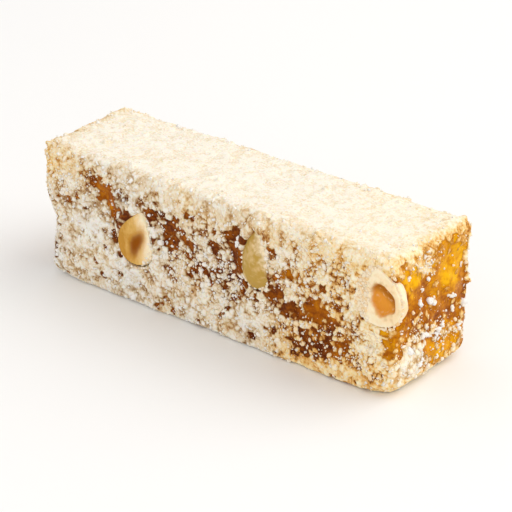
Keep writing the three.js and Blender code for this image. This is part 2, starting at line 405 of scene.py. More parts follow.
UPPER_EDGE: Span = (20, 26)
FAR_LEFT: Span = (-22, -40)
THICKER = (Stain(0.26, up=UPPER_EDGE),)
LESS_CRACKED = (Stain(0.15, up=UPPER_EDGE),)
DAMP = (
    Stain(0.14, up=UPPER_EDGE),
    Stain(0.1, along=FAR_LEFT, up=UPPER_EDGE),
    Stain(0.12, Zone.SIDES, along=(8, 18), up=(11, 7)),
    Stain(0.12, Zone.ENDS, up=(10, 16)),
)
YELLOWED_AND_LIT = (
    Stain(0.2, Zone.OFF_TOP, up=(21, 26)),
    Stain(0.6, Zone.OFF_TOP, along=FAR_LEFT, up=(17, 25)),
    Stain(0.1, along=(-20, -5)),
    # Warmer and lighter towards the right end: partly the crust's own yellow, partly painted light from the
    # right.
    Stain(0.65, along=(5, 35)),
    Stain(1.1, along=(12, 30), up=(4, 1.5)),
    Stain(0.28, Zone.SIDES, along=(8, 18), up=(11, 7)),
    Stain(0.85, Zone.ENDS, up=(12, 22)),
    Stain(0.2, Zone.ENDS, across=(-4, 4)),
    Stain(-0.55, Zone.ENDS, up=(11, 6)),
)


@dataclass
class Crust:
    """How sugar and starch cover some places on the bar's surface, and how they and the jelly look there."""

    faces: BarFaces
    places: np.ndarray
    broad: Mottle = Mottle(3.2 * MM, 11)
    fine: Mottle = Mottle(1.1 * MM, 12)
    fray: Mottle = Mottle(1.7 * MM, 13)
    fringe: Mottle = Mottle(0.8 * MM, 15)
    tint: Mottle = Mottle(5.0 * MM, 14)
    # How deep patches reach behind a face, and the broader part of the fraying of their edges.
    reach: float = 8 * MM
    fray_share: float = 0.6
    # The cover of each face without patches, and how far it swings.
    side_cover: float = 0.7
    left_cover: float = 0.64
    right_cover: float = 0.44
    top_cover: float = 0.93
    base_cover: float = 0.9
    broad_swing: float = 0.6
    fine_swing: float = 0.9
    top_swing: float = 0.28
    # The share of the cracks that pressing shuts.
    pressed_shut: float = 0.75
    # The jelly's gold and the crust's warmth without patches and stains, and how far they swing.
    plain_gold: float = 0.14
    # The ends' extra gold is partly painted glow of light shining through the jelly.
    end_gold: float = 0.28
    gold_swing: float = 0.3
    plain_warmth: float = 0.12
    warmth_swing: float = 0.35
    # The share of the warmth that the dusted top hides, and its own warmth.
    top_calm: float = 0.75
    top_warmth: float = 0.25

    def __post_init__(self) -> None:
        """Works out once which faces the places are on."""
        self.shares = self.faces.shares(self.places)
        self.top = self.shares[Facing.TOP]
        self.ends = self.shares[Facing.LEFT_END] + self.shares[Facing.RIGHT_END]

    @property
    def cover(self) -> np.ndarray:
        """How well the crust covers each place.

        Returns:
            Numbers from 0, bare jelly, to 1, thick crust.
        """
        uneven = self.broad.swing(self.places, self.broad_swing)
        uneven += self.fine.swing(self.places, self.fine_swing)
        sides = self.side_cover + uneven + self._stained(THICKER)
        levels = {
            Facing.FRONT: sides,
            Facing.BACK: sides,
            Facing.LEFT_END: self.left_cover + uneven,
            Facing.RIGHT_END: self.right_cover + uneven,
            Facing.TOP: self.top_cover + self.top_swing * uneven,
            Facing.BASE: np.full(len(self.places), self.base_cover),
        }
        cover = np.zeros(len(self.places))
        for face, share in self.shares.items():
            changed = levels[face] + self._patched(face, Mark.THICK) - self._patched(face, Mark.BARE)
            cover += share * np.clip(changed, 0, 1)
        return cover

    def marked(self, mark: Mark) -> np.ndarray:
        """Gives how strongly the patches of one kind mark each place, from 0 to 1."""
        return sum(share * self._patched(face, mark) for face, share in self.shares.items())

    @property
    def looseness(self) -> np.ndarray:
        """How far the crust has cracked at each place.

        Returns:
            Numbers from 0, on the dusted top, to 1.
        """
        upright = 1 - self.top - self.shares[Facing.BASE]
        rough = 1 - self.pressed_shut * self.marked(Mark.SMOOTH)
        return upright * rough * (1 - self._stained(LESS_CRACKED))

    @property
    def gold(self) -> np.ndarray:
        """How golden the jelly is at each place, from 0, red-brown, to 1, yellow; the yellow on the ends is
        partly painted glow of light shining through the jelly.
        """
        gold = self.plain_gold + self.end_gold * self.ends + self.tint.swing(self.places, self.gold_swing)
        return np.clip(gold + self.marked(Mark.GOLDEN), 0, 1)

    @property
    def dullness(self) -> np.ndarray:
        """How much damp dulls the crust at each place, from 0, dry, to about 0.3."""
        return (1 - self.top) * self._stained(DAMP)

    @property
    def warmth(self) -> np.ndarray:
        """How yellow the crust is at each place.

        Returns:
            Numbers from 0, grey-white, to 1, ochre.
        """
        warmth = self.plain_warmth + self._stained(YELLOWED_AND_LIT)
        warmth += self.tint.swing(self.places, self.warmth_swing)
        return np.clip(warmth * (1 - self.top_calm * self.top) + self.top_warmth * self.top, 0, 1)

    def _stained(self, stains: tuple[Stain, ...]) -> np.ndarray:
        """Adds up stains at each place.

        Args:
            stains: The stains, each in its own zone.

        Returns:
            Their summed strength.
        """
        off_ends, off_top = 1 - self.ends, 1 - self.top
        zones = {Zone.ALL: 1.0, Zone.SIDES: off_ends, Zone.ENDS: self.ends, Zone.OFF_TOP: off_top}
        spots = (self.places - np.append(self.faces.middle[:2], 0.0)) / MM
        return sum(zones[stain.zone] * stain.at(spots) for stain in stains)

    def _patched(self, face: Facing, mark: Mark) -> np.ndarray:
        """Gives the strongest patch of one kind on one face at each place.

        Args:
            face: The face. The top and the base have no patches.
            mark: The kind of patch.

        Returns:
            Numbers from 0, no patch, to 1.
        """
        strongest = np.zeros(len(self.places))
        if face not in MARKS:
            return strongest
        near = np.abs(self.faces.depths(self.places)[face]) < self.reach
        places = self.places[near]
        along, up = self.faces.along(places, face), places[:, 2] / MM
        ragged = self.fray_share * self.fray.at(places) + (1 - self.fray_share) * self.fringe.at(places)
        for patch in MARKS[face][mark]:
            strongest[near] = np.maximum(strongest[near], patch.share(along, up, ragged))
        return strongest


@dataclass(frozen=True)
class Swells:
    """Random swells of a finish: their width in metres, finer layers, shift, and height over width."""

    wavelength: float
    detail: float = 2.0
    seed: float = 0.0
    tall: float = 1.0


class ShaderGraph:
    """The nodes of a material, with short calls that add and join them."""

    # The mix node's sockets for colours, which share their names with others.
    FIRST_COLOUR, SECOND_COLOUR, MIXED_COLOUR = 6, 7, 2

    def __init__(self, name: str) -> None:
        """Starts a material with one plain shader.

        Args:
            name: The material's name.
        """
        self.material = bpy.data.materials.new(name)
        self.material.use_nodes = True
        self.tree = self.material.node_tree
        self.shader = self.tree.nodes["Principled BSDF"]

    def feed(self, source: object, target: Socket) -> None:
        """Gives a socket its value.

        Args:
            source: Another socket to join to it, or a plain value.
            target: The socket.
        """
        if isinstance(source, Socket):
            self.tree.links.new(source, target)
        else:
            target.default_value = source

    def add(self, kind: str, inputs: dict, output: str | int = 0, **settings: object) -> Socket:
        """Adds a node.

        Args:
            kind: The node's type.
            inputs: What feeds its inputs, each under the input's name or number.
            output: The name or number of the output that is wanted.
            settings: The node's own settings.

        Returns:
            The output's socket.
        """
        node = self.tree.nodes.new(kind)
        for name, value in settings.items():
            setattr(node, name, value)
        for name, value in inputs.items():
            self.feed(value, node.inputs[name])
        return node.outputs[output]

    def attribute(self, name: str) -> Socket:
        """Reads a number that the mesh carries under that name."""
        return self.add("ShaderNodeAttribute", {}, "Fac", attribute_name=name)

    def noise(self, swells: Swells) -> Socket:
        """Adds random swells in the object's own space.

        Args:
            swells: What they are like.

        Returns:
            The swells, as numbers around 0.5.
        """
        place = self.add("ShaderNodeTexCoord", {}, "Object")
        shift = (swells.seed, 2 * swells.seed, 3 * swells.seed)
        mapping = {"Vector": place, "Location": shift, "Scale": (1, 1, 1 / swells.tall)}
        moved = self.add("ShaderNodeMapping", mapping, "Vector")
        texture = {"Vector": moved, "Scale": 1 / swells.wavelength, "Detail": swells.detail}
        return self.add("ShaderNodeTexNoise", texture, "Fac")

    def sum(self, start: float, *terms: tuple[Socket, float]) -> Socket:
        """Adds up sockets.

        Args:
            start: The number that they are added to.
            terms: The sockets, each with its factor.

        Returns:
            The sum.
        """
        total: object = start
        for term, factor in terms:
            total = self.add("ShaderNodeMath", {0: term, 1: factor, 2: total}, operation="MULTIPLY_ADD")
        return total

    def times(self, first: Socket, second: Socket) -> Socket:
        """Multiplies two sockets."""
        return self.add("ShaderNodeMath", {0: first, 1: second}, operation="MULTIPLY")

    def window(self, source: Socket, span: Span) -> Socket:
        """Rises smoothly from 0 to 1 while the source goes over a span."""
        inputs = {"Value": source, "From Min": span[0], "From Max": span[1]}
        return self.add("ShaderNodeMapRange", inputs, "Result", interpolation_type="SMOOTHSTEP")

    def ramp(self, source: Socket, stops: Stops) -> Socket:
        """Turns a number into a colour.

        Args:
            source: The number.
            stops: The colours, each with its place from 0 to 1.

        Returns:
            The colour.
        """
        colour = self.add("ShaderNodeValToRGB", {"Fac": source}, "Color")
        elements = colour.node.color_ramp.elements
        while len(elements) < len(stops):
            elements.new(1.0)
        for element, (place, shade) in zip(elements, stops, strict=True):
            element.position = place
            element.color = shade
        return colour

    def mix(self, share: Socket, first: object, second: object) -> Socket:
        """Mixes two colours, from the first at a share of 0 to the second at 1."""
        inputs = {0: share, self.FIRST_COLOUR: first, self.SECOND_COLOUR: second}
        return self.add("ShaderNodeMix", inputs, self.MIXED_COLOUR, data_type="RGBA")

    def bump(self, height: Socket, distance: float, strength: float) -> None:
        """Roughens the shader's surface by a height from 0 to 1, times a distance in metres."""
        inputs = {"Height": height, "Distance": distance, "Strength": strength}
        self.feed(self.add("ShaderNodeBump", inputs, "Normal"), self.shader.inputs["Normal"])

    def set(self, **inputs: object) -> None:
        """Sets or feeds the shader's inputs, named with _ for a space."""
        for name, value in inputs.items():
            self.feed(value, self.shader.inputs[name.replace("_", " ")])


@dataclass(frozen=True)
class Waxiness:
    """A soft shine over light that sinks in and glows back, as jelly and kernels have under their dust."""

    roughness: Line
    glow: float
    glow_reach: tuple[float, float, float]
    glow_depth: float
    gloss: float = 0.06

    def give(self, graph: ShaderGraph, colour: Socket, dust: Socket) -> None:
        """Gives a shader this shine.

        Args:
            graph: The nodes of the material.
            colour: Its colour.
            dust: How dusty it is, from 0, where it shines most, to 1.
        """
        graph.set(
            Base_Color=colour,
            Roughness=graph.sum(self.roughness[0], (dust, self.roughness[1])),
            Specular_IOR_Level=self.gloss,
            Subsurface_Weight=self.glow,
            Subsurface_Radius=self.glow_reach,
            Subsurface_Scale=self.glow_depth,
        )


@dataclass(frozen=True)
class JellyFinish:
    """Amber jelly where the crust is thin, and a film of soaked or dry starch where it isn't."""

    # The ramp's yellow end stands partly for painted glow of light shining through the jelly.
    jelly: Stops = colour_stops((0, 91, 37, 8), (0.35, 160, 86, 5), (0.65, 206, 132, 4), (1, 242, 180, 12))
    grey: Stops = colour_stops(
        (0.28, 120, 72, 31), (0.47, 182, 154, 119), (0.67, 225, 208, 182), (0.91, 241, 238, 231)
    )
    golden: Stops = colour_stops(
        (0.28, 152, 94, 38), (0.45, 218, 158, 76), (0.67, 250, 216, 152), (0.95, 253, 240, 208)
    )
    speck: Swells = Swells(0.45 * MM, 3, 0.2, 1.2)
    cloud: Swells = Swells(2.4 * MM, 2, 0.5)
    flow: Swells = Swells(1.2 * MM, 3, 1.3, 0.7)
    speck_cover: float = 0.65
    cloud_gold: float = 0.5
    speck_gold: float = 0.45
    flow_gold: float = 0.7
    gold_start: float = -0.83
    film: Span = (0.22, 0.4)
    relief: Span = (0.0, 1.1)
    relief_height: float = 0.5 * MM
    relief_strength: float = 0.8
    shine: Waxiness = Waxiness((0.36, 0.5), 0.12, (1.0, 0.45, 0.15), 0.6 * MM)

    def material(self) -> bpy.types.Material:
        """Makes the finish.

        Returns:
            The material.
        """
        graph = ShaderGraph("sugared_jelly")
        speck, cloud, flow = (graph.noise(swells) for swells in (self.speck, self.cloud, self.flow))
        cover = graph.sum(-self.speck_cover / 2, (graph.attribute("crust"), 1.0), (speck, self.speck_cover))
        gold = graph.sum(
            self.gold_start,
            (graph.attribute("gold"), 1.0),
            (cloud, self.cloud_gold),
            (speck, self.speck_gold),
            (flow, self.flow_gold),
        )
        powder = graph.mix(
            graph.attribute("warm"), graph.ramp(cover, self.grey), graph.ramp(cover, self.golden)
        )
        film = graph.window(cover, self.film)
        self.shine.give(graph, graph.mix(film, graph.ramp(gold, self.jelly), powder), film)
        graph.bump(graph.window(cover, self.relief), self.relief_height, self.relief_strength)
        return graph.material


@dataclass(frozen=True)
class SugarFinish:
    """Sugar and starch grains, from amber-soaked to dry white."""

    tones: Stops = colour_stops(
        (0, 236, 182, 104), (0.3, 246, 216, 168), (0.65, 246, 234, 212), (1, 245, 243, 240)
    )
    pits: Swells = Swells(0.3 * MM, 2, 0.1)
    pit_depth: float = 0.1 * MM
    pit_strength: float = 0.7
    roughness: float = 0.75

    def material(self) -> bpy.types.Material:
        """Makes the finish, which reads one tone for each grain.

        Returns:
            The material.
        """
        graph = ShaderGraph("sugar")
        graph.set(Base_Color=graph.ramp(graph.attribute("tone"), self.tones), Roughness=self.roughness)
        graph.bump(graph.noise(self.pits), self.pit_depth, self.pit_strength)
        return graph.material


@dataclass(frozen=True)
class KernelFinish:
    """Hazelnut flesh, its browned hollow with painted shade, and thin skin, under a little starch."""

    flesh: Stops = colour_stops(
        (0, 190, 154, 76), (0.35, 252, 223, 178), (0.7, 230, 188, 110), (1, 198, 144, 58)
    )
    amber: Colour = screen_colour(190, 128, 22)
    hollow: Colour = screen_colour(236, 163, 60)
    # The darkest colour of a hollow: painted shade in a pale hollow, and browned flesh with painted shade at
    # a browned hollow's core.
    hollow_deep: Colour = screen_colour(146, 78, 0)
    skin: Colour = screen_colour(244, 210, 164)
    starch: Colour = screen_colour(254, 238, 206)
    grain: Swells = Swells(0.8 * MM, 3, 0.3)
    cloud: Swells = Swells(3.0 * MM, 2, 0.7)
    veins: Swells = Swells(0.9 * MM, 2, 0.9, 5.0)
    gold_start: float = -0.43
    own_gold: float = 0.7
    cloud_gold: float = 0.5
    vein_gold: float = 0.7
    grain_gold: float = 0.3
    cloud_core: float = 0.3
    core: Span = (0.0, 0.4)
    flecks: Span = (0.52, 0.9)
    browned: Span = (0.42, 0.62)
    grain_dust: float = 0.6
    cloud_dust: float = 0.6
    own_dust: float = 0.8
    dusted: Span = (0.75, 1.35)
    relief_height: float = 0.15 * MM
    relief_strength: float = 0.5
    shine: Waxiness = Waxiness((0.45, 0.35), 0.2, (1.0, 0.6, 0.3), 1.0 * MM)

    def material(self) -> bpy.types.Material:
        """Makes the finish.

        Returns:
            The material.
        """
        graph = ShaderGraph("hazelnut")
        grain, cloud, veins = (graph.noise(swells) for swells in (self.grain, self.cloud, self.veins))
        own_gold = graph.attribute("gold")
        gold = graph.sum(
            self.gold_start,
            (own_gold, self.own_gold),
            (cloud, self.cloud_gold),
            (graph.times(veins, own_gold), self.vein_gold),
            (grain, self.grain_gold),
        )
        flesh = graph.mix(graph.attribute("skin"), graph.ramp(gold, self.flesh), self.skin)
        # Painted shade darkens the upper side of a pale hollow, under its rim.
        pale = graph.mix(graph.attribute("shade"), self.hollow, self.hollow_deep)
        pale = graph.mix(graph.window(grain, self.flecks), pale, self.skin)
        # A browned hollow darkens towards its core: browned flesh and painted shade.
        core = graph.sum(-self.cloud_core / 2, (graph.attribute("core"), 1.0), (cloud, self.cloud_core))
        brown = graph.mix(graph.window(core, self.core), self.amber, self.hollow_deep)
        hollow = graph.mix(graph.window(own_gold, self.browned), pale, brown)
        colour = graph.mix(graph.attribute("cavity"), flesh, hollow)
        own_dust = (graph.attribute("dust"), self.own_dust)
        dust = graph.sum(0.0, (grain, self.grain_dust), (cloud, self.cloud_dust), own_dust)
        dust = graph.window(dust, self.dusted)
        self.shine.give(graph, graph.mix(dust, colour, self.starch), dust)
        graph.bump(grain, self.relief_height, self.relief_strength)
        return graph.material


@dataclass(frozen=True)
class FloorFinish:
    """A plain white table."""

    white: Colour = screen_colour(246, 246, 246)
    shade: Colour = screen_colour(242, 242, 243)
    cloud: Swells = Swells(0.2)
    roughness: float = 0.8

    def material(self) -> bpy.types.Material:
        """Makes the finish.

        Returns:
            The material.
        """
        graph = ShaderGraph("white_table")
        colour = graph.mix(graph.noise(self.cloud), self.white, self.shade)
        graph.set(Base_Color=colour, Roughness=self.roughness)
        return graph.material


def add_object(name: str, data: bpy.types.ID) -> bpy.types.Object:
    """Puts a new object into the scene.

    Args:
        name: The object's name.
        data: Its mesh, lamp or camera.

    Returns:
        The object.
    """
    added = bpy.data.objects.new(name, data)
    bpy.context.scene.collection.objects.link(added)
    return added


def new_piece(name: str, mesh: bpy.types.Mesh, material: bpy.types.Material) -> bpy.types.Object:
    """Puts a finished mesh into the scene as a piece of the bar.

    Args:
        name: The piece's name.
        mesh: Its mesh, in the frame's own place.
        material: Its finish.

    Returns:
        The new object, riding on the bar's one body.
    """
    mesh.name = name
    piece = add_object(name, mesh)
    mesh.materials.clear()
    mesh.materials.append(material)
    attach(piece, BODY)
    return piece


def put_into(mesh: bpy.types.Mesh, shape: bmesh.types.BMesh) -> bpy.types.Mesh:
    """Puts a finished shape into a mesh.

    Args:
        mesh: The mesh.
        shape: The shape, which is freed.

    Returns:
        The mesh.
    """
    shape.to_mesh(mesh)
    shape.free()
    return mesh


def with_modifier(
    mesh: bpy.types.Mesh, kind: str, group: tuple[str, np.ndarray] | None = None, **settings: object
) -> bpy.types.Mesh:
    """Gives a copy of a mesh with one modifier applied.

    Args:
        mesh: The mesh, which is removed.
        kind: The modifier's type.
        group: The name and the members of a group of vertices that the settings speak of, if any.
        settings: The modifier's own settings.

    Returns:
        The new mesh.
    """
    holder = add_object("holder", mesh)
    if group:
        holder.vertex_groups.new(name=group[0]).add(np.flatnonzero(group[1]).tolist(), 1.0, "REPLACE")
    modifier = holder.modifiers.new(kind.lower(), kind)
    for name, value in settings.items():
        setattr(modifier, name, value)
    graph = bpy.context.evaluated_depsgraph_get()
    result = bpy.data.meshes.new_from_object(holder.evaluated_get(graph))
    bpy.data.objects.remove(holder)
    bpy.data.meshes.remove(mesh)
    return result


def read_vertices(mesh: bpy.types.Mesh, what: str) -> np.ndarray:
    """Reads one thing about every vertex of a mesh.

    Args:
        mesh: The mesh.
        what: Either co, for the vertices' places, or normal, for the ways that they face.

    Returns:
        Rows of x, y and z.
    """
    flat = np.empty(3 * len(mesh.vertices))
    mesh.vertices.foreach_get(what, flat)
    return flat.reshape(-1, 3)


def write_places(mesh: bpy.types.Mesh, places: np.ndarray) -> None:
    """Moves a mesh's vertices to new places."""
    mesh.vertices.foreach_set("co", places.ravel())
    mesh.update()


def write_numbers(mesh: bpy.types.Mesh, name: str, numbers: np.ndarray) -> None:
    """Stores a number on each vertex of a mesh, for its material to read."""
    layer = mesh.attributes.new(name, "FLOAT", "POINT")
    layer.data.foreach_set("value", np.ascontiguousarray(numbers, dtype=np.float32))


def shade_smooth(mesh: bpy.types.Mesh) -> None:
    """Shades every face of a mesh smoothly."""
    mesh.polygons.foreach_set("use_smooth", np.ones(len(mesh.polygons), dtype=bool))
    mesh.update()


@dataclass
class JellyBar:
    """The jelly and its film of starch: a finer skin that keeps the form of the plain bar."""

    faces: BarFaces
    kernels: "tuple[Kernel, ...]"
    # The fine skin, and which part of it is hidden and thinned.
    voxel: float = 0.32 * MM
    most_triangles: int = 194_000
    hidden_depth: float = 1.2 * MM
    base_depth: float = 0.3 * MM
    weld: float = 0.001 * MM
    smooth_rounds: int = 2
    smooth_share: float = 0.5
    # How far the skin rises around a kernel, where it closes the socket's gap.
    socket_gap: float = 0.64 * MM
    # The height of lumps and granules, the spread of the granules' tones, and the depth of bare jelly.
    lump_height: float = 0.4 * MM
    granule_height: float = 0.42 * MM
    granule_rise: Line = (0.4, 0.6)
    granule_tones: float = 7.3
    bare_depth: float = 0.3 * MM
    # The share of granules that stick to bare jelly, and what thin and thick crust add to it.
    kept_bare: float = 0.1
    kept_thin: float = 0.82
    kept_thick: float = 0.08
    thin: Span = (0.0, 0.62)
    thick: Span = (0.62, 0.95)
    # The grooves between granules: where they open, how deep and wide they are, and how much darker their
    # crust is, partly from damp jelly and partly as painted shade.
    cracked: Span = (0.3, 0.7)
    groove: float = 0.22 * MM
    groove_depth: Line = (0.32, 0.6)
    groove_width: Line = (0.6, 0.8)
    groove_damp_and_shade: Line = (0.2, 0.8)
    # How much flatter, more even and damper the dusted top is.
    top_calm: float = 0.75
    top_evenness: float = 0.4
    top_damp: float = 0.06
    # How dry granules look, and the thin film on the jelly between them.
    tone_swing: float = 0.3
    dryness: Line = (0.64, 0.34)
    driest: float = 1.1
    film_start: float = 0.5
    film_most: float = 0.3
    lumps: Mottle = Mottle(1.9 * MM, 21)
    cracking: Mottle = Mottle(1.5 * MM, 26)
    granules: Granules = Granules(1.15 * MM, 22)

    def build(self) -> bpy.types.Object:
        """Makes the piece that stands for the plain bar.

        Returns:
            The jelly bar.
        """
        mesh = self._fine_skin()
        self._roughen(mesh)
        crust = Crust(self.faces, read_vertices(mesh, "co"))
        write_numbers(mesh, "gold", crust.gold)
        write_numbers(mesh, "warm", crust.warmth)
        shade_smooth(mesh)
        piece = new_piece("jelly_bar", mesh, JellyFinish().material())
        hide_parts(BAR_NODE)
        return piece

    def _fine_skin(self) -> bpy.types.Mesh:
        """Covers the plain bar's form with small even faces.

        Returns:
            The skin.
        """
        welded = bmesh.new()
        welded.from_mesh(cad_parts[BAR_NODE].data)
        bmesh.ops.remove_doubles(welded, verts=welded.verts, dist=self.weld)
        mesh = put_into(bpy.data.meshes.new("welded_bar"), welded)
        mesh = with_modifier(mesh, "REMESH", mode="VOXEL", voxel_size=self.voxel)
        soft = bmesh.new()
        soft.from_mesh(mesh)
        for _ in range(self.smooth_rounds):
            bmesh.ops.smooth_vert(
                soft,
                verts=soft.verts,
                factor=self.smooth_share,
                use_axis_x=True,
                use_axis_y=True,
                use_axis_z=True,
            )
        return self._thinned(put_into(mesh, soft))

    def _thinned(self, mesh: bpy.types.Mesh) -> bpy.types.Mesh:
        """Thins the triangles of the base and of the sockets, which don't show.

        Args:
            mesh: The skin, which is removed.

        Returns:
            The thinned skin.
        """
        places = read_vertices(mesh, "co")
        hidden = (self.faces.least_depth(places) > self.hidden_depth) | (places[:, 2] < self.base_depth)
        mesh.calc_loop_triangles()
        kept = min(1.0, self.most_triangles / len(mesh.loop_triangles))
        return with_modifier(mesh, "DECIMATE", ("hidden", hidden), ratio=kept, vertex_group="hidden")

    def _roughen(self, mesh: bpy.types.Mesh) -> None:
        """Raises the crust's granules, sinks the bare jelly between them, and marks the crust.

        Args:
            mesh: The skin.
        """
        places, normals = read_vertices(mesh, "co"), read_vertices(mesh, "normal")
        middles, inside, own = self.granules.nearest(places)
        cover = Crust(self.faces, middles).cover
        crust = Crust(self.faces, places)
        top = crust.top
        tone = (self.granule_tones * own) % 1
        kept = self.kept_bare + self.kept_thin * ease(cover, *self.thin)
        kept = kept + self.kept_thick * ease(cover, *self.thick) + top
        stuck = np.where(own < kept, 1.0, 0.0)
        crack = ease(self.cracking.at(places), *self.cracked)
        cut = crust.looseness * on_line(self.groove_depth, crack)
        bulge = 1 - cut * (1 - ease(inside / on_line(self.groove_width, crack), 0, self.groove))
        granule = self.granule_height * on_line(self.granule_rise, tone) * bulge
        rough = 1 - self.top_calm * top - crust.shares[Facing.BASE]
        rise = rough * (stuck * (self.lumps.swing(places, self.lump_height) + granule) - self.bare_depth)
        toned = self.tone_swing * (1 - self.top_evenness * top) * (tone - 0.5) - self.top_damp * top
        dry = on_line(self.dryness, cover) + toned - crust.dullness
        # The crust darkens in the grooves between granules: damp jelly showing through, and painted shade.
        dry = np.clip(dry, 0, self.driest) * on_line(self.groove_damp_and_shade, bulge)
        film = np.clip(cover - self.film_start, 0, self.film_most)
        write_numbers(mesh, "crust", np.where(stuck > 0, dry, film))
        for kernel in self.kernels:
            near = kernel.nearness(places)
            rise = rise * (1 - near) + self.socket_gap * near
        moved = places + normals * rise[:, None]
        moved[:, 2] = np.maximum(moved[:, 2], 0)
        write_places(mesh, moved)


@dataclass
class Skin:
    """The outside of the bar as small triangles, for grains to lie on."""

    corners: np.ndarray
    normals: np.ndarray
    areas: np.ndarray

    @classmethod
    def of_mesh(cls, mesh: bpy.types.Mesh, least: float = 1e-18) -> "Skin":
        """Reads a mesh's triangles.

        Args:
            mesh: The mesh.
            least: Stands for the area of a triangle that has none.

        Returns:
            The skin.
        """
        mesh.calc_loop_triangles()
        index = np.empty(3 * len(mesh.loop_triangles), dtype=np.int64)
        mesh.loop_triangles.foreach_get("vertices", index)
        corners = read_vertices(mesh, "co")[index.reshape(-1, 3)]
        across = np.cross(corners[:, 1] - corners[:, 0], corners[:, 2] - corners[:, 0])
        doubled = np.linalg.norm(across, axis=1)
        return cls(corners, across / np.maximum(doubled, least)[:, None], doubled / 2)

    @property
    def middles(self) -> np.ndarray:
        """The triangles' middles."""
        return self.corners.mean(axis=1)

    def scatter(
        self, draw: np.random.Generator, count: int, density: np.ndarray
    ) -> tuple[np.ndarray, np.ndarray]:
        """Drops points on the skin.

        Args:
            draw: The source of random numbers.
            count: How many points are dropped.
            density: How thickly they fall on each triangle.

        Returns:
            The points, and the ways that the skin faces there.
        """
        odds = self.areas * density
        chosen = draw.choice(len(odds), count, p=odds / odds.sum())
        weights = draw.dirichlet((1.0, 1.0, 1.0), count)
        return np.einsum("nk,nkc->nc", weights, self.corners[chosen]), self.normals[chosen]


class GrainShape(Enum):
    """The shapes that grains start from, each with its width or length as a share of the grain's."""

    CLUMP = ("finely rounded", 1.0)
    LUMP = ("rounded", 1.0)
    CRYSTAL = ("cube", 0.8)
    SPECK = ("pyramid", 0.8)

    def model(self) -> tuple[np.ndarray, np.ndarray]:
        """Models one grain, in units of its width.

        Returns:
            Its vertices, and its triangles as rows of three vertices.
        """
        grain = bmesh.new()
        size = self.value[1]
        if self is GrainShape.CRYSTAL:
            bmesh.ops.create_cube(grain, size=size)
        elif self is GrainShape.SPECK:
            bmesh.ops.create_cone(grain, cap_ends=True, segments=3, radius1=0.5, radius2=0, depth=size)
        else:
            fineness = 2 if self is GrainShape.CLUMP else 1
            bmesh.ops.create_icosphere(grain, subdivisions=fineness, radius=size / 2)
        bmesh.ops.triangulate(grain, faces=grain.faces)
        grain.verts.index_update()
        places = np.array([vert.co for vert in grain.verts])
        faces = np.array([[vert.index for vert in face.verts] for face in grain.faces])
        grain.free()
        return places, faces


@dataclass(frozen=True)
class GrainKind:
    """One kind of grain on one part of the bar."""

    name: str
    shape: GrainShape
    count: int
    smallest: float
    largest: float
    faces: dict[Facing, float]
    stretch: float = 0.35
    length: float = 1.0
    flatness: float = 1.0
    swing: float = 180.0
    tilt: float = 0.0
    sunk: float = 0.3
    cling: float = 1.5
    clumping: float = 0.0
    stray: float = 0.03
    lift: float = 0.0
    smooth: bool = True


@dataclass(frozen=True)
class Lump:
    """A single lump of sugar on an upright face, in millimetres from the middle of its base line."""

    facing: Facing
    along: float
    up: float
    size: float
    # What being further out is worth to a place, and what lying behind the bar's middle costs it.
    outermost: float = 0.01
    behind: float = 1.0

    def on(self, faces: BarFaces, skin: Skin) -> tuple[np.ndarray, np.ndarray]:
        """Finds the lump's place on the skin.

        Args:
            faces: The faces of the bar.
            skin: The outside of the bar.

        Returns:
            The place and the way that the skin faces there, as arrays of x, y and z.
        """
        turn = np.array(Matrix.Rotation(self.facing.turn, 3, "Z"))
        way = turn @ OUTWARD
        aimed = faces.middle + turn @ np.array([-self.along * MM, 0.0, 0.0])
        aimed[2] = self.up * MM
        away = skin.middles - aimed
        outward = away @ way
        aside = np.linalg.norm(away - outward[:, None] * way, axis=1)
        nearest = np.argmin(aside + np.where(outward > 0, -self.outermost * outward, self.behind))
        return skin.middles[nearest], skin.normals[nearest]


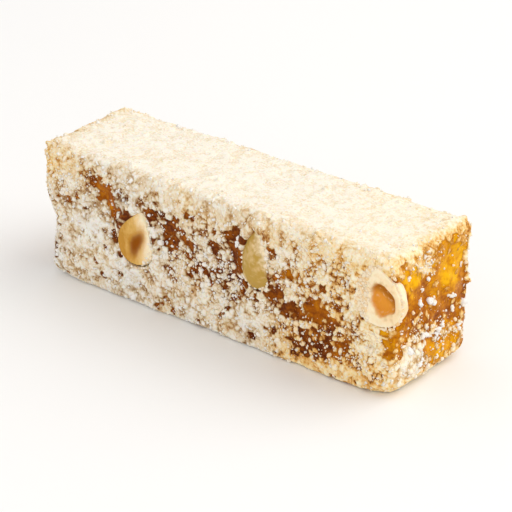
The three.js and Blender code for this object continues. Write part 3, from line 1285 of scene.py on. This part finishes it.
@dataclass
class Grains:
    """Some grains of one kind, from their places on the skin to one joined piece."""

    kind: GrainKind
    draw: np.random.Generator
    places: np.ndarray
    normals: np.ndarray
    sizes: np.ndarray | None = None
    # How low grains may reach.
    floor: float = 0.02 * MM
    # How much darker the dampest grains and those in warmer crust are.
    soaked: float = 0.45
    warm_darkening: float = 0.28
    # The waves and dents of a grain, and the nearly upright way that its length follows.
    wave_pitch: float = 5.0
    wave_turn: float = 6.0
    wave_dent: float = 0.18
    corner_dent: float = 0.3
    upright: tuple[float, float, float] = (0.02, 0.0, 1.0)
    # How a grain is laid flat on its square of the map, and the square's margin.
    map_view: tuple[Span, Span, Span] = ((0.9, 0.1), (0.3, 0.8), (0.25, -0.45))
    map_margin: float = 0.2

    def __post_init__(self) -> None:
        """Models one grain, and draws the widths of all, most of them small, where none are given."""
        self.count = len(self.places)
        self.shape, self.triangles = self.kind.shape.model()
        if self.sizes is None:
            wider = self.kind.largest - self.kind.smallest
            self.sizes = self.kind.smallest + wider * self.draw.random(self.count) ** 2

    def joined(self, material: bpy.types.Material, faces: BarFaces) -> bpy.types.Object:
        """Shapes the grains and joins them into a piece.

        Args:
            material: Their finish.
            faces: The faces of the bar, whose crust tones them.

        Returns:
            The piece.
        """
        middles = self.places + self.normals * (self.sizes * (0.5 - self.kind.sunk))[:, None]
        grains = self._shaped() + middles[:, None, :]
        grains[..., 2] = np.maximum(grains[..., 2], self.floor)
        mesh = self._mesh(grains)
        damp = self.soaked * self.draw.random(self.count) ** 2
        tones = 1 + self.kind.lift - damp - self.warm_darkening * Crust(faces, self.places).warmth
        write_numbers(mesh, "tone", np.repeat(np.clip(tones, 0, 1), len(self.shape)))
        self._bake_map(mesh)
        if self.kind.smooth:
            shade_smooth(mesh)
        return new_piece(self.kind.name, mesh, material)

    def _shaped(self) -> np.ndarray:
        """Tilts, dents and stretches a copy of the shape for each grain.

        Returns:
            The vertices of every grain, around its own middle.
        """
        draw, kind, count = self.draw, self.kind, self.count
        ways = self.normals + kind.tilt * draw.normal(size=self.normals.shape)
        ways /= np.linalg.norm(ways, axis=1)[:, None]
        waves = draw.normal(size=(count, 1, 3)) * self.wave_pitch
        turns = self.wave_turn * draw.random((count, 1, 1))
        swell = np.sin(np.sum(self.shape[None] * waves, axis=2, keepdims=True) + turns)
        dents = self.corner_dent * (draw.random((count, len(self.shape), 1)) - 0.5)
        dents = 1 + self.wave_dent * swell + dents
        scales = 1 + kind.stretch * (2 * draw.random((count, 1, 3)) - 1)
        scales *= np.array([1.0, kind.length, kind.flatness])
        grains = self.shape[None] * dents * scales * self.sizes[:, None, None]
        upward = np.array(self.upright) - ways * (ways @ np.array(self.upright))[:, None]
        upward /= np.linalg.norm(upward, axis=1)[:, None]
        aside = np.cross(upward, ways)
        swing = np.radians(kind.swing) * draw.normal(size=count)[:, None]
        long_way = upward * np.cos(swing) + aside * np.sin(swing)
        short_way = aside * np.cos(swing) - upward * np.sin(swing)
        return np.einsum("nkj,njc->nkc", grains, np.stack([short_way, long_way, ways], axis=1))

    def _mesh(self, grains: np.ndarray) -> bpy.types.Mesh:
        """Joins the grains into one mesh.

        Args:
            grains: The vertices of every grain, in their places.

        Returns:
            The mesh.
        """
        starts = len(self.shape) * np.arange(self.count)
        index = (self.triangles[None] + starts[:, None, None]).reshape(-1)
        mesh = bpy.data.meshes.new("grains")
        mesh.vertices.add(self.count * len(self.shape))
        mesh.loops.add(len(index))
        mesh.polygons.add(len(index) // 3)
        mesh.vertices.foreach_set("co", grains.ravel())
        mesh.loops.foreach_set("vertex_index", index)
        mesh.polygons.foreach_set("loop_start", np.arange(0, len(index), 3))
        mesh.update(calc_edges=True)
        return mesh

    def _bake_map(self, mesh: bpy.types.Mesh) -> None:
        """Gives each grain its own square of a map, because it has one tone all over.

        Args:
            mesh: The joined grains.
        """
        side = math.ceil(math.sqrt(self.count))
        flat = self.shape @ np.array(self.map_view)
        flat = (flat - flat.min(axis=0)) / np.ptp(flat, axis=0)
        flat = self.map_margin + (1 - 2 * self.map_margin) * flat
        cells = np.stack([np.arange(self.count) % side, np.arange(self.count) // side], axis=1)
        places = (cells[:, None, :] + flat[self.triangles.ravel()][None]) / side
        layer = mesh.uv_layers.new(name="OFBake")
        layer.data.foreach_set("uv", places.astype(np.float32).ravel())


@dataclass
class SugarCoat:
    """The loose grains of the crust, each kind as one piece."""

    faces: BarFaces
    skin: Skin
    material: bpy.types.Material
    kernels: "tuple[Kernel, ...]"
    holders: tuple[bpy.types.Object, ...]
    # How deep behind a face grains fall, and how clear of a surface they may lie.
    reach: float = 3.4 * MM
    slack: float = 0.08 * MM
    # How grains gather.
    clumps: Mottle = Mottle(2.2 * MM, 31)
    clump_start: float = 0.5
    # The spread of a lump's grains and their widths, as shares of its size.
    lump_spread: float = 0.24
    lump_grains: Line = (0.3, 0.35)

    def __post_init__(self) -> None:
        """Works out once what every kind of grain asks about the skin."""
        middles = self.skin.middles
        self.crust = Crust(self.faces, middles)
        self.cover = self.crust.cover
        self.clumped = self.clump_start + self.clumps.at(middles)
        shown = self.faces.least_depth(middles) < self.reach
        self.loose = np.where(shown, 1 - self.crust.marked(Mark.SMOOTH), 0)
        for kernel in self.kernels:
            self.loose *= 1 - kernel.nearness(middles)
        self.clumping = self.crust.marked(Mark.CLUMPED)
        graph = bpy.context.evaluated_depsgraph_get()
        self.surfaces = [BVHTree.FromObject(holder, graph) for holder in self.holders]

    def build(self, kind: GrainKind, seed: int) -> bpy.types.Object:
        """Scatters one kind of grain over the bar.

        Args:
            kind: What the grains are and where they lie.
            seed: The start of the random numbers.

        Returns:
            The grains as one piece.
        """
        draw = np.random.default_rng(seed)
        wanted = sum(self.crust.shares[face] * thickness for face, thickness in kind.faces.items())
        falling = self.cover**kind.cling * self.clumped + kind.clumping * self.clumping + kind.stray
        places, normals = self.skin.scatter(draw, kind.count, wanted * self.loose * falling)
        return Grains(kind, draw, places, normals).joined(self.material, self.faces)

    def build_rims(self, kind: GrainKind, seed: int) -> bpy.types.Object:
        """Packs half the grains around the edges of the kernels, and heaps the others over one side.

        Args:
            kind: What the grains are.
            seed: The start of the random numbers.

        Returns:
            The grains as one piece.
        """
        draw = np.random.default_rng(seed)
        even = kind.count // (2 * len(self.kernels))
        heaps = sum(kernel.rim_heap for kernel in self.kernels)
        heaped = [round(kind.count / 2 * kernel.rim_heap / heaps) for kernel in self.kernels]
        rims = [
            kernel.rim(draw, even, count, self.faces)
            for kernel, count in zip(self.kernels, heaped, strict=True)
        ]
        places, normals = (np.concatenate(rows) for rows in zip(*rims, strict=True))
        return Grains(kind, draw, self._settled(places), normals).joined(self.material, self.faces)

    def build_lumps(self, kind: GrainKind, lumps: tuple[Lump, ...], seed: int) -> bpy.types.Object:
        """Sets single lumps of sugar at their places, each as a heap of grains.

        Args:
            kind: What the grains are, and how many make a lump.
            lumps: Their places and sizes.
            seed: The start of the random numbers.

        Returns:
            The lumps as one piece.
        """
        draw = np.random.default_rng(seed)
        rows = [lump.on(self.faces, self.skin) for lump in lumps]
        places, normals = (np.repeat(column, kind.count, axis=0) for column in zip(*rows, strict=True))
        widths = np.repeat([lump.size * MM for lump in lumps], kind.count)
        aside = draw.normal(size=places.shape) * (self.lump_spread * widths)[:, None]
        aside -= normals * np.sum(aside * normals, axis=1)[:, None]
        widths = widths * on_line(self.lump_grains, draw.random(len(widths)))
        grains = Grains(kind, draw, self._settled(places + aside), normals, widths)
        return grains.joined(self.material, self.faces)

    def _settled(self, places: np.ndarray) -> np.ndarray:
        """Moves each place that lies clear of the bar and its kernels onto the nearest of them.

        Args:
            places: Where grains are to lie.

        Returns:
            The places, none of them in the air.
        """
        settled = places.copy()
        for row, place in enumerate(map(Vector, places)):
            found = [surface.find_nearest(place) for surface in self.surfaces]
            outside = all((place - spot).dot(normal) > 0 for spot, normal, _, _ in found)
            spot, _, _, away = min(found, key=lambda one: one[3])
            if outside and away > self.slack:
                settled[row] = spot
        return settled


# Shares of the way from a kernel's outline to its hollow's edge, for the loops of its cut.
CUT_STEPS = (0.04, 0.3, 0.65, 1.0)
# The hollow's width and depth at each loop of its bowl, as shares of its own.
BOWL_STEPS = ((0.97, 0.25), (0.88, 0.55), (0.7, 0.85), (0.4, 1.0))
# The height, the count and the shift of the waves in a hollow's edge.
HOLLOW_WAVES = ((0.07, 3, 1), (0.05, 5, -1))


@dataclass
class Kernel:
    """A hazelnut kernel in its socket, either sliced with the face or whole."""

    node: str
    facing: Facing
    lean: float
    sliced: bool
    # How golden the flesh is, how much starch lies on it, and the side that the starch heaps over.
    gold: float = 0.2
    dust: float = 0.3
    gold_slope: float = 0.0
    # Extra gold towards the outline darkens the flesh there: partly its colour, partly painted shade at the
    # edge.
    gold_rim: float = 0.0
    heap: float = 0.0
    # The hollow in the cut, with its size and place as shares of the kernel's.
    hollow: float = 0.27
    hollow_aside: float = 0.0
    hollow_rise: float = 0.0
    hollow_turn: float = 0.0
    hollow_blur: float = 0.08
    hollow_slim: float = 1.0
    hollow_deep: float = 0.9
    hollow_inset: float = 0.01 * MM
    corners: int = 6
    corner_turn: float = 0.4
    facets: float = 0.65
    # The colour of the hollow's wall, the shade inside it, and the thin skin behind the cut.
    wall_share: float = 0.5
    wall_depth: float = 0.5
    shade_way: Span = (-0.6, 0.8)
    shade_span: Span = (-0.3, 0.25)
    shade_most: float = 0.75
    skin_depth: Span = (0.4 * MM, 1.2 * MM)
    skin_edge: Span = (1.2, 1.0)
    skin_most: float = 0.6
    # The starch on the kernel, and the crumbs around its rim.
    dust_slope: float = 0.5
    dust_rim: Span = (0.72, 1.0)
    rim_dust: float = 0.4
    rim_gap: float = 0.2 * MM
    rim_heap: float = 1.8 * MM
    rim_side: Span = (0.1, 1.0)
    rim_height: float = 0.95
    # The outline that is spun, and the socket around it as shares of the kernel's size.
    sides: int = 48
    rings: int = 24
    seam: float = 1e-5
    sunk: float = 2.3 * MM
    taper: float = 0.14
    tip: float = 0.14
    tip_power: int = 6
    socket: Span = (1.28, 1.12)
    # The swells of the surface, which are calmer on the cut.
    unevenness: Mottle = Mottle(3.0 * MM, 41)
    swell: float = 0.5 * MM
    pores: Mottle = Mottle(0.9 * MM, 42)
    pore_depth: float = 0.16 * MM
    cut_swell: Line = (0.3, 0.7)
    cut_depth: float = 0.6 * MM

    def __post_init__(self) -> None:
        """Works out the kernel's own size from the box of its solid, with +Y looking out of the bar."""
        self.turn = Matrix.Rotation(self.facing.turn, 4, "Z")
        corners = [self.turn.inverted() @ Vector(corner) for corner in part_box(self.node)]
        low = Vector(map(min, *corners))
        high = Vector(map(max, *corners))
        size = high - low
        middle = (low + high) / 2
        spread = (size.z**2 - size.x**2) / math.cos(2 * math.radians(self.lean))
        both = size.z**2 + size.x**2
        self.half_width = math.sqrt((both - spread) / 2) / 2
        self.half_length = math.sqrt((both + spread) / 2) / 2
        self.half_depth = size.y - self.sunk if self.sliced else size.y / 2
        self.middle = Vector((middle.x, low.y + self.half_depth, middle.z))
        self.cut = high.y

    def build(self, material: bpy.types.Material) -> bpy.types.Object:
        """Models the kernel in the place of its plain solid.

        Args:
            material: Its finish.

        Returns:
            The kernel.
        """
        shape = self._spun()
        if self.sliced:
            self._slice(shape)
        bmesh.ops.recalc_face_normals(shape, faces=shape.faces)
        mesh = put_into(bpy.data.meshes.new(self.node), shape)
        mesh = with_modifier(mesh, "SUBSURF", levels=1, render_levels=1)
        self._dress(mesh)
        mesh.transform(self.turn)
        shade_smooth(mesh)
        piece = new_piece(f"kernel_{self.node.removeprefix('hazelnut_')}", mesh, material)
        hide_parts(self.node)
        return piece

    def _spun(self) -> bmesh.types.BMesh:
        """Spins half an outline, blunt at the base and pointed at the tip, into a kernel.

        Returns:
            The kernel, whole.
        """
        shape = bmesh.new()
        outline = []
        for ring in range(self.rings + 1):
            turn = math.pi * (1 - ring / self.rings)
            rise = math.cos(turn)
            reach = math.sin(turn) * (1 - self.taper * rise) if 0 < ring < self.rings else 0
            top = rise + self.tip * max(rise, 0) ** self.tip_power
            outline.append(shape.verts.new((reach, 0, top / (1 + self.tip / 2))))
        edges = [shape.edges.new(pair) for pair in itertools.pairwise(outline)]
        bmesh.ops.spin(
            shape,
            geom=outline + edges,
            cent=(0, 0, 0),
            axis=(0, 0, 1),
            angle=2 * math.pi,
            steps=self.sides,
            use_merge=True,
        )
        bmesh.ops.remove_doubles(shape, verts=shape.verts, dist=self.seam)
        size = Matrix.Diagonal((self.half_width, self.half_depth, self.half_length, 1))
        shape.transform(Matrix.Translation(self.middle) @ self._lean() @ size)
        return shape

    def _slice(self, shape: bmesh.types.BMesh) -> None:
        """Cuts the kernel off at the face and sinks the hollow into the cut.

        Args:
            shape: The kernel.
        """
        bmesh.ops.bisect_plane(
            shape,
            geom=[*shape.verts, *shape.edges, *shape.faces],
            plane_co=(0, self.cut, 0),
            plane_no=(0, 1, 0),
            clear_outer=True,
        )
        open_edges = [edge for edge in shape.edges if edge.is_boundary]
        cut = bmesh.ops.contextual_create(shape, geom=open_edges)["faces"][0]
        outline = [vert.co.copy() for vert in cut.verts]
        centre = sum(outline, Vector()) / len(outline)
        centre.x += self.hollow_aside * self.half_width
        centre.z += self.hollow_rise * self.half_length
        self.hollow_middle = centre
        for step in CUT_STEPS:
            self._shrink(shape, cut, step)
        for inward, down in BOWL_STEPS:
            self._shrink(shape, cut, 1.0, down, inward)
        bmesh.ops.poke(shape, faces=[cut])

    def _shrink(
        self,
        shape: bmesh.types.BMesh,
        cut: bmesh.types.BMFace,
        step: float,
        down: float = 0.0,
        inward: float = 1.0,
    ) -> None:
        """Insets the cut face, then sets its corners between the kernel's outline and its hollow.

        Args:
            shape: The kernel.
            cut: The face that is inset.
            step: The share of the way from the outline, 0, to the hollow's edge, 1.
            down: The share of the hollow's depth.
            inward: The hollow's width here, as a share of its width at the cut.
        """
        centre = self.hollow_middle
        before = [vert.co.copy() for vert in cut.verts]
        bmesh.ops.inset_region(shape, faces=[cut], thickness=self.hollow_inset, use_even_offset=True)
        for vert in cut.verts:
            nearest = min(before, key=lambda place: (place - vert.co).length)
            away = nearest - centre
            angle = math.atan2(away.z, away.x)
            reach = self._hollow_reach(angle) * inward
            edge = Vector((math.cos(angle) * reach, 0, math.sin(angle) * reach))
            start = Vector((away.x, 0, away.z))
            flat = start.lerp(edge, step) if down == 0 else edge
            depth = self._hollow_depth() * down
            vert.co = Vector((centre.x + flat.x, self.cut - depth, centre.z + flat.z))

    def _hollow_reach(self, angle: float) -> float:
        """Gives the radius of the hollow, a rounded and uneven polygon.

        Args:
            angle: The angle in the cut, in radians.

        Returns:
            The radius there, in metres.
        """
        sector = 2 * math.pi / self.corners
        within = (angle + self.corner_turn) % sector - sector / 2
        facet = math.cos(sector / 2) / math.cos(within)
        angle += self.leaning + math.radians(self.hollow_turn)
        across, upright = self.hollow_slim * self.half_width, self.half_length
        oval = across * upright / math.hypot(upright * math.cos(angle), across * math.sin(angle))
        uneven = 1.0
        for height, count, shift in HOLLOW_WAVES:
            uneven += height * math.sin(count * angle + shift * self.lean)
        return 2 * self.hollow * oval * (1 - self.facets + self.facets * facet) * uneven

    def _hollow_depth(self) -> float:
        """The depth of the hollow."""
        return 2 * self.hollow * self.half_depth * self.hollow_deep

    def _dress(self, mesh: bpy.types.Mesh) -> None:
        """Makes the surface uneven and marks its hollow with its painted shade, its skin and its starch.

        Args:
            mesh: The kernel, before its turn to its face.
        """
        places, normals = read_vertices(mesh, "co"), read_vertices(mesh, "normal")
        swell = self.unevenness.swing(places, self.swell) + self.pores.swing(places, self.pore_depth)
        behind = self.cut - places[:, 1]
        aside = (places[:, 0] - self.middle.x) / self.half_width
        above = (places[:, 2] - self.middle.z) / self.half_length
        rim = ease(np.hypot(aside, above), *self.dust_rim)
        cavity, core, skin, shade = np.zeros((4, len(places)))
        if self.sliced:
            off_x = places[:, 0] - self.hollow_middle.x
            off_z = places[:, 2] - self.hollow_middle.z
            edge = np.array([self._hollow_reach(angle) for angle in np.arctan2(off_z, off_x)])
            within = np.hypot(off_x, off_z) / edge
            cavity = ease(within, 1 + self.hollow_blur, 1 - self.hollow_blur)
            sharp = self.wall_share * (1 - self.hollow_blur)
            cavity *= 1 - sharp + sharp * ease(behind, 0, self.wall_depth * self._hollow_depth())
            # The core paints a browned hollow darker towards its middle: browned flesh and painted shade.
            core = np.clip(1 - within, 0, 1)
            shaded = (self.shade_way[1] * off_z + self.shade_way[0] * off_x) / edge
            shade = self.shade_most * ease(shaded, *self.shade_span)
            skin = ease(behind, *self.skin_depth) * (1 - ease(within, *self.skin_edge))
            swell *= on_line(self.cut_swell, ease(behind, 0, self.cut_depth))
        toward = math.radians(self.heap)
        heaped = aside * math.cos(toward) + above * math.sin(toward)
        dust = self.dust + self.rim_dust * rim + self.dust_slope * heaped
        write_places(mesh, places + normals * swell[:, None])
        write_numbers(mesh, "cavity", cavity)
        write_numbers(mesh, "core", core)
        write_numbers(mesh, "shade", shade)
        write_numbers(mesh, "skin", self.skin_most * skin)
        # The rim's extra gold is partly painted shade at the kernel's edge.
        write_numbers(mesh, "gold", self.gold + self.gold_slope * aside + self.gold_rim * rim)
        write_numbers(mesh, "dust", dust * (1 - cavity))

    def nearness(self, places: np.ndarray) -> np.ndarray:
        """Gives how near the kernel's surface places lie.

        Args:
            places: Points in metres, one to a row.

        Returns:
            Numbers from 0, away from the kernel, to 1, on it or inside.
        """
        frame_to_kernel = (self.turn @ Matrix.Translation(self.middle) @ self._lean()).inverted()
        own = places @ np.array(frame_to_kernel.to_3x3()).T + np.array(frame_to_kernel.translation)
        halves = np.array([self.half_width, self.half_depth, self.half_length])
        return ease(np.linalg.norm(own / halves, axis=1), *self.socket)

    def rim(
        self, draw: np.random.Generator, even: int, heaped: int, faces: BarFaces
    ) -> tuple[np.ndarray, np.ndarray]:
        """Draws places on the bar's face around the kernel's edge.

        Args:
            draw: The source of random numbers.
            even: How many places are drawn all round.
            heaped: How many more are drawn on the side that the crust heaps over.
            faces: The faces of the bar.

        Returns:
            The places, and the ways that the face looks there.
        """
        plane = faces.plane(self.facing)
        height = min(abs(plane - self.middle.y) / self.half_depth, self.rim_height)
        share = math.sqrt(1 - height * height)
        count = even + heaped
        toward = math.radians(self.heap)
        turns = np.concatenate([2 * math.pi * draw.random(even), toward + draw.normal(size=heaped)])
        inward = self.rim_heap * ease(np.cos(turns - toward), *self.rim_side) * draw.random(count)
        outward = self.rim_gap * (1 + draw.normal(size=count)) - inward
        across = (self.half_width * share + outward) * np.cos(turns)
        upright = (self.half_length * share + outward) * np.sin(turns)
        inside = 1 - (across / self.half_width) ** 2 - (upright / self.half_length) ** 2
        bulge = self.middle.y + self.half_depth * np.sqrt(np.maximum(inside, 0))
        places = np.stack([across, np.zeros(count), upright], axis=1) @ np.array(self._lean().to_3x3()).T
        places += np.array([self.middle.x, 0, self.middle.z])
        places[:, 1] = np.clip(bulge, plane, self.cut)
        turn = np.array(self.turn.to_3x3())
        return places @ turn.T, np.tile(turn @ OUTWARD, (count, 1))

    @property
    def leaning(self) -> float:
        """The angle in radians by which the kernel leans aside in its face."""
        return math.radians(-self.lean if self.facing is Facing.FRONT else self.lean)

    def _lean(self) -> Matrix:
        """The turn that leans the kernel aside in its face."""
        return Matrix.Rotation(self.leaning, 4, "Y")


# Shallow, blurred hollows whose darker core is browned flesh and painted shade.
BROWNED_AND_SHADED = {"hollow_blur": 0.75, "hollow_deep": 0.14, "facets": 0.0}
KERNELS = (
    Kernel(
        "hazelnut_front_left", Facing.FRONT, 14, True, gold=0.68, dust=0.05, gold_slope=0.36, gold_rim=0.2,
        heap=160, hollow=0.27, hollow_slim=0.7, hollow_turn=-12, hollow_aside=-0.02, hollow_rise=-0.08,
        tip=0.26, taper=0.22, dust_slope=1.1, rim_heap=0.7 * MM, **BROWNED_AND_SHADED,
    ),
    Kernel(
        "hazelnut_front_middle", Facing.FRONT, 2, False,
        gold=0.03, dust=-0.12, heap=140, rim_heap=1.2 * MM, dust_slope=1.4, rim_dust=0.6,
    ),
    Kernel(
        "hazelnut_front_corner", Facing.FRONT, -8, True, gold=0.36, dust=0.62, heap=15, sunk=1.2 * MM,
        hollow=0.27, hollow_aside=-0.2, hollow_blur=0.14, dust_slope=0.5, rim_heap=3.4 * MM,
    ),
    Kernel("hazelnut_back_right", Facing.BACK, 30, True, gold=0.4, dust=0.3, heap=-60),
    Kernel("hazelnut_back_middle", Facing.BACK, -12, False, gold=0.1, dust=0.1, heap=100, dust_slope=0.9),
    Kernel(
        "hazelnut_back_left", Facing.BACK, -25, True,
        gold=0.92, dust=0.1, gold_slope=0.4, heap=200, hollow=0.36, hollow_slim=0.62, **BROWNED_AND_SHADED,
    ),
    Kernel("hazelnut_left_end", Facing.LEFT_END, 15, True, gold=0.4, dust=0.3, heap=-90),
)

FRONT = {Facing.FRONT: 1.0}
BACK = {Facing.BACK: 1.0}
ENDS = {Facing.LEFT_END: 1.0, Facing.RIGHT_END: 1.0}
UPRIGHT = {**FRONT, **BACK, **ENDS}
TOP = {Facing.TOP: 1.0}
# Along, up and size of the lumps on an end, in millimetres, and how far along the hidden end has them.
END_LUMPS = (
    (-3.9, 17.0, 1.6), (-0.2, 15.8, 1.8), (6.8, 11.7, 1.1), (6.3, 14.6, 1.3), (-7.2, 23.2, 1.1),
    (-3.0, 19.4, 0.9), (-1.4, 21.0, 0.9), (-3.0, 10.2, 1.7), (1.2, 9.0, 1.6), (-7.6, 9.0, 1.5),
    (3.6, 9.8, 1.4), (9.4, 7.0, 1.5), (10.2, 11.4, 2.0), (-4.6, 5.4, 1.6),
)
HIDDEN_END_LUMPS_TO = 9
SIDE_LUMP = (6.7, 21.3, 1.5)
LUMPS = (
    Lump(Facing.FRONT, *SIDE_LUMP),
    Lump(Facing.BACK, *SIDE_LUMP),
    *(Lump(Facing.RIGHT_END, *lump) for lump in END_LUMPS),
    *(Lump(Facing.LEFT_END, *lump) for lump in END_LUMPS if lump[0] < HIDDEN_END_LUMPS_TO),
)
CLUMPS = {
    "length": 1.3, "flatness": 0.7, "swing": 50.0, "tilt": 0.3, "sunk": 0.4, "cling": 3.0, "clumping": 2.0,
}
GRAINS = {"stretch": 0.4, "tilt": 0.3, "sunk": 0.42, "cling": 1.2, "clumping": 0.4, "stray": 0.08}
GRAIN_KINDS = (
    GrainKind("powder_clumps_front", GrainShape.CLUMP, 160, 0.45 * MM, 1.0 * MM, FRONT, **CLUMPS),
    GrainKind("powder_clumps_back", GrainShape.CLUMP, 160, 0.45 * MM, 1.0 * MM, BACK, **CLUMPS),
    GrainKind("powder_clumps_ends", GrainShape.CLUMP, 50, 0.5 * MM, 1.1 * MM, ENDS, **CLUMPS),
    GrainKind("sugar_grains_front", GrainShape.LUMP, 1500, 0.2 * MM, 0.5 * MM, FRONT, **GRAINS),
    GrainKind("sugar_grains_back", GrainShape.LUMP, 1500, 0.2 * MM, 0.5 * MM, BACK, **GRAINS),
    GrainKind("sugar_grains_ends", GrainShape.LUMP, 500, 0.2 * MM, 0.5 * MM, ENDS, **GRAINS),
    GrainKind(
        "sugar_crystals", GrainShape.CRYSTAL, 2600, 0.2 * MM, 0.5 * MM, UPRIGHT,
        stretch=0.45, length=1.5, tilt=0.6, cling=0.9, clumping=0.7, stray=0.07, lift=0.15, smooth=False,
    ),
    GrainKind(
        "starch_dust_sides", GrainShape.SPECK, 16000, 0.12 * MM, 0.28 * MM, UPRIGHT,
        flatness=0.6, sunk=0.42, cling=2.0, stray=0.05,
    ),
    GrainKind(
        "starch_dust_top", GrainShape.SPECK, 12000, 0.1 * MM, 0.2 * MM, TOP,
        flatness=0.6, sunk=0.45, cling=1.0, lift=0.3,
    ),
)
RIM_CRUMBS = GrainKind(
    "kernel_rim_crumbs", GrainShape.LUMP, 1800, 0.35 * MM, 0.95 * MM, {},
    flatness=0.65, sunk=0.45, lift=-0.12,
)
SUGAR_LUMPS = GrainKind("sugar_lumps", GrainShape.LUMP, 12, 0, 0, {}, tilt=0.4, lift=0.4, smooth=False)
RIM_SEED, LUMP_SEED = 51, 52


def looking(way: Vector) -> Euler:
    """Gives the turn of a lamp or a camera that looks a given way."""
    return way.to_track_quat("-Z", "Y").to_euler()


@dataclass(frozen=True)
class Lamp:
    """A soft square lamp that looks at the bar, with its place in metres from the bar's middle."""

    name: str
    place: tuple[float, float, float]
    size: float
    power: float
    colour: tuple[float, float, float] = (1.0, 0.975, 0.94)

    def hang(self, middle: Vector) -> None:
        """Hangs the lamp.

        Args:
            middle: The middle of the bar.
        """
        light = bpy.data.lights.new(self.name, "AREA")
        light.size = self.size
        light.energy = self.power
        light.color = self.colour
        lamp = add_object(self.name, light)
        lamp.location = middle + Vector(self.place)
        lamp.rotation_euler = looking(-Vector(self.place))


@dataclass(frozen=True)
class Studio:
    """A white table, soft daylight, and a camera that looks down along the bar."""

    faces: BarFaces
    azimuth: float = 38.6
    elevation: float = 26.5
    distance: float = 450 * MM
    aim: tuple[float, float, float] = (1.0 * MM, 0.0, -2.0 * MM)
    focal_pixels: float = 2340.0
    image_pixels: int = 512
    sensor: float = 36.0
    nearest: float = 10 * MM
    table: float = 3.0
    sky: Colour = (1.0, 0.985, 0.96, 1.0)
    sky_strength: float = 0.76
    lamps: tuple[Lamp, ...] = (
        Lamp("window", (0.55, 0.42, 0.75), 1.1, 6.2), Lamp("fill", (0.35, -0.8, 0.55), 0.9, 1.75),
    )

    def build(self) -> None:
        """Sets up the table, the lights and the camera."""
        self._table()
        self._daylight()
        for lamp in self.lamps:
            lamp.hang(Vector(self.faces.middle))
        self._camera()

    def _table(self) -> None:
        """Lays the table under the bar."""
        plane = bmesh.new()
        bmesh.ops.create_grid(plane, x_segments=1, y_segments=1, size=self.table / 2)
        mesh = put_into(bpy.data.meshes.new("white_table"), plane)
        mesh.materials.append(FloorFinish().material())
        table = add_object("white_table", mesh)

    def _daylight(self) -> None:
        """Fills the room with even white light."""
        world = bpy.data.worlds.new("daylight")
        world.use_nodes = True
        background = world.node_tree.nodes["Background"]
        background.inputs["Color"].default_value = self.sky
        background.inputs["Strength"].default_value = self.sky_strength
        scene = bpy.context.scene
        scene.world = world
        scene.view_settings.view_transform = "Standard"
        scene.view_settings.look = "None"

    def _camera(self) -> None:
        """Sets the camera at the photograph's angle, with the bar filling the picture."""
        turn, rise = math.radians(self.azimuth), math.radians(self.elevation)
        back = Vector((math.sin(turn) * math.cos(rise), -math.cos(turn) * math.cos(rise), math.sin(rise)))
        data = bpy.data.cameras.new("camera")
        data.sensor_width = self.sensor
        data.lens = self.focal_pixels / self.image_pixels * self.sensor
        data.clip_start = self.nearest
        camera = add_object("camera", data)
        camera.location = Vector(self.faces.middle) + Vector(self.aim) + back * self.distance
        camera.rotation_euler = looking(-back)
        bpy.context.scene.camera = camera


def main() -> None:
    """Builds the bar, its kernels, its sugar and the studio around them."""
    logging.basicConfig(level=logging.INFO, format="%(name)s: %(message)s")
    faces = BarFaces.of_frame()
    kernel_finish = KernelFinish().material()
    kernels = [kernel.build(kernel_finish) for kernel in KERNELS]
    bar = JellyBar(faces, KERNELS).build()
    coat = SugarCoat(faces, Skin.of_mesh(bar.data), SugarFinish().material(), KERNELS, (bar, *kernels))
    grains = [coat.build(kind, seed) for seed, kind in enumerate(GRAIN_KINDS, start=1)]
    rims = coat.build_rims(RIM_CRUMBS, RIM_SEED)
    lumps = coat.build_lumps(SUGAR_LUMPS, LUMPS, LUMP_SEED)
    for piece in (*kernels, bar, *grains, rims, lumps):
        log.info("%s: %d faces", piece.name, len(piece.data.polygons))
    Studio(faces).build()


if __name__ == "__main__":
    main()
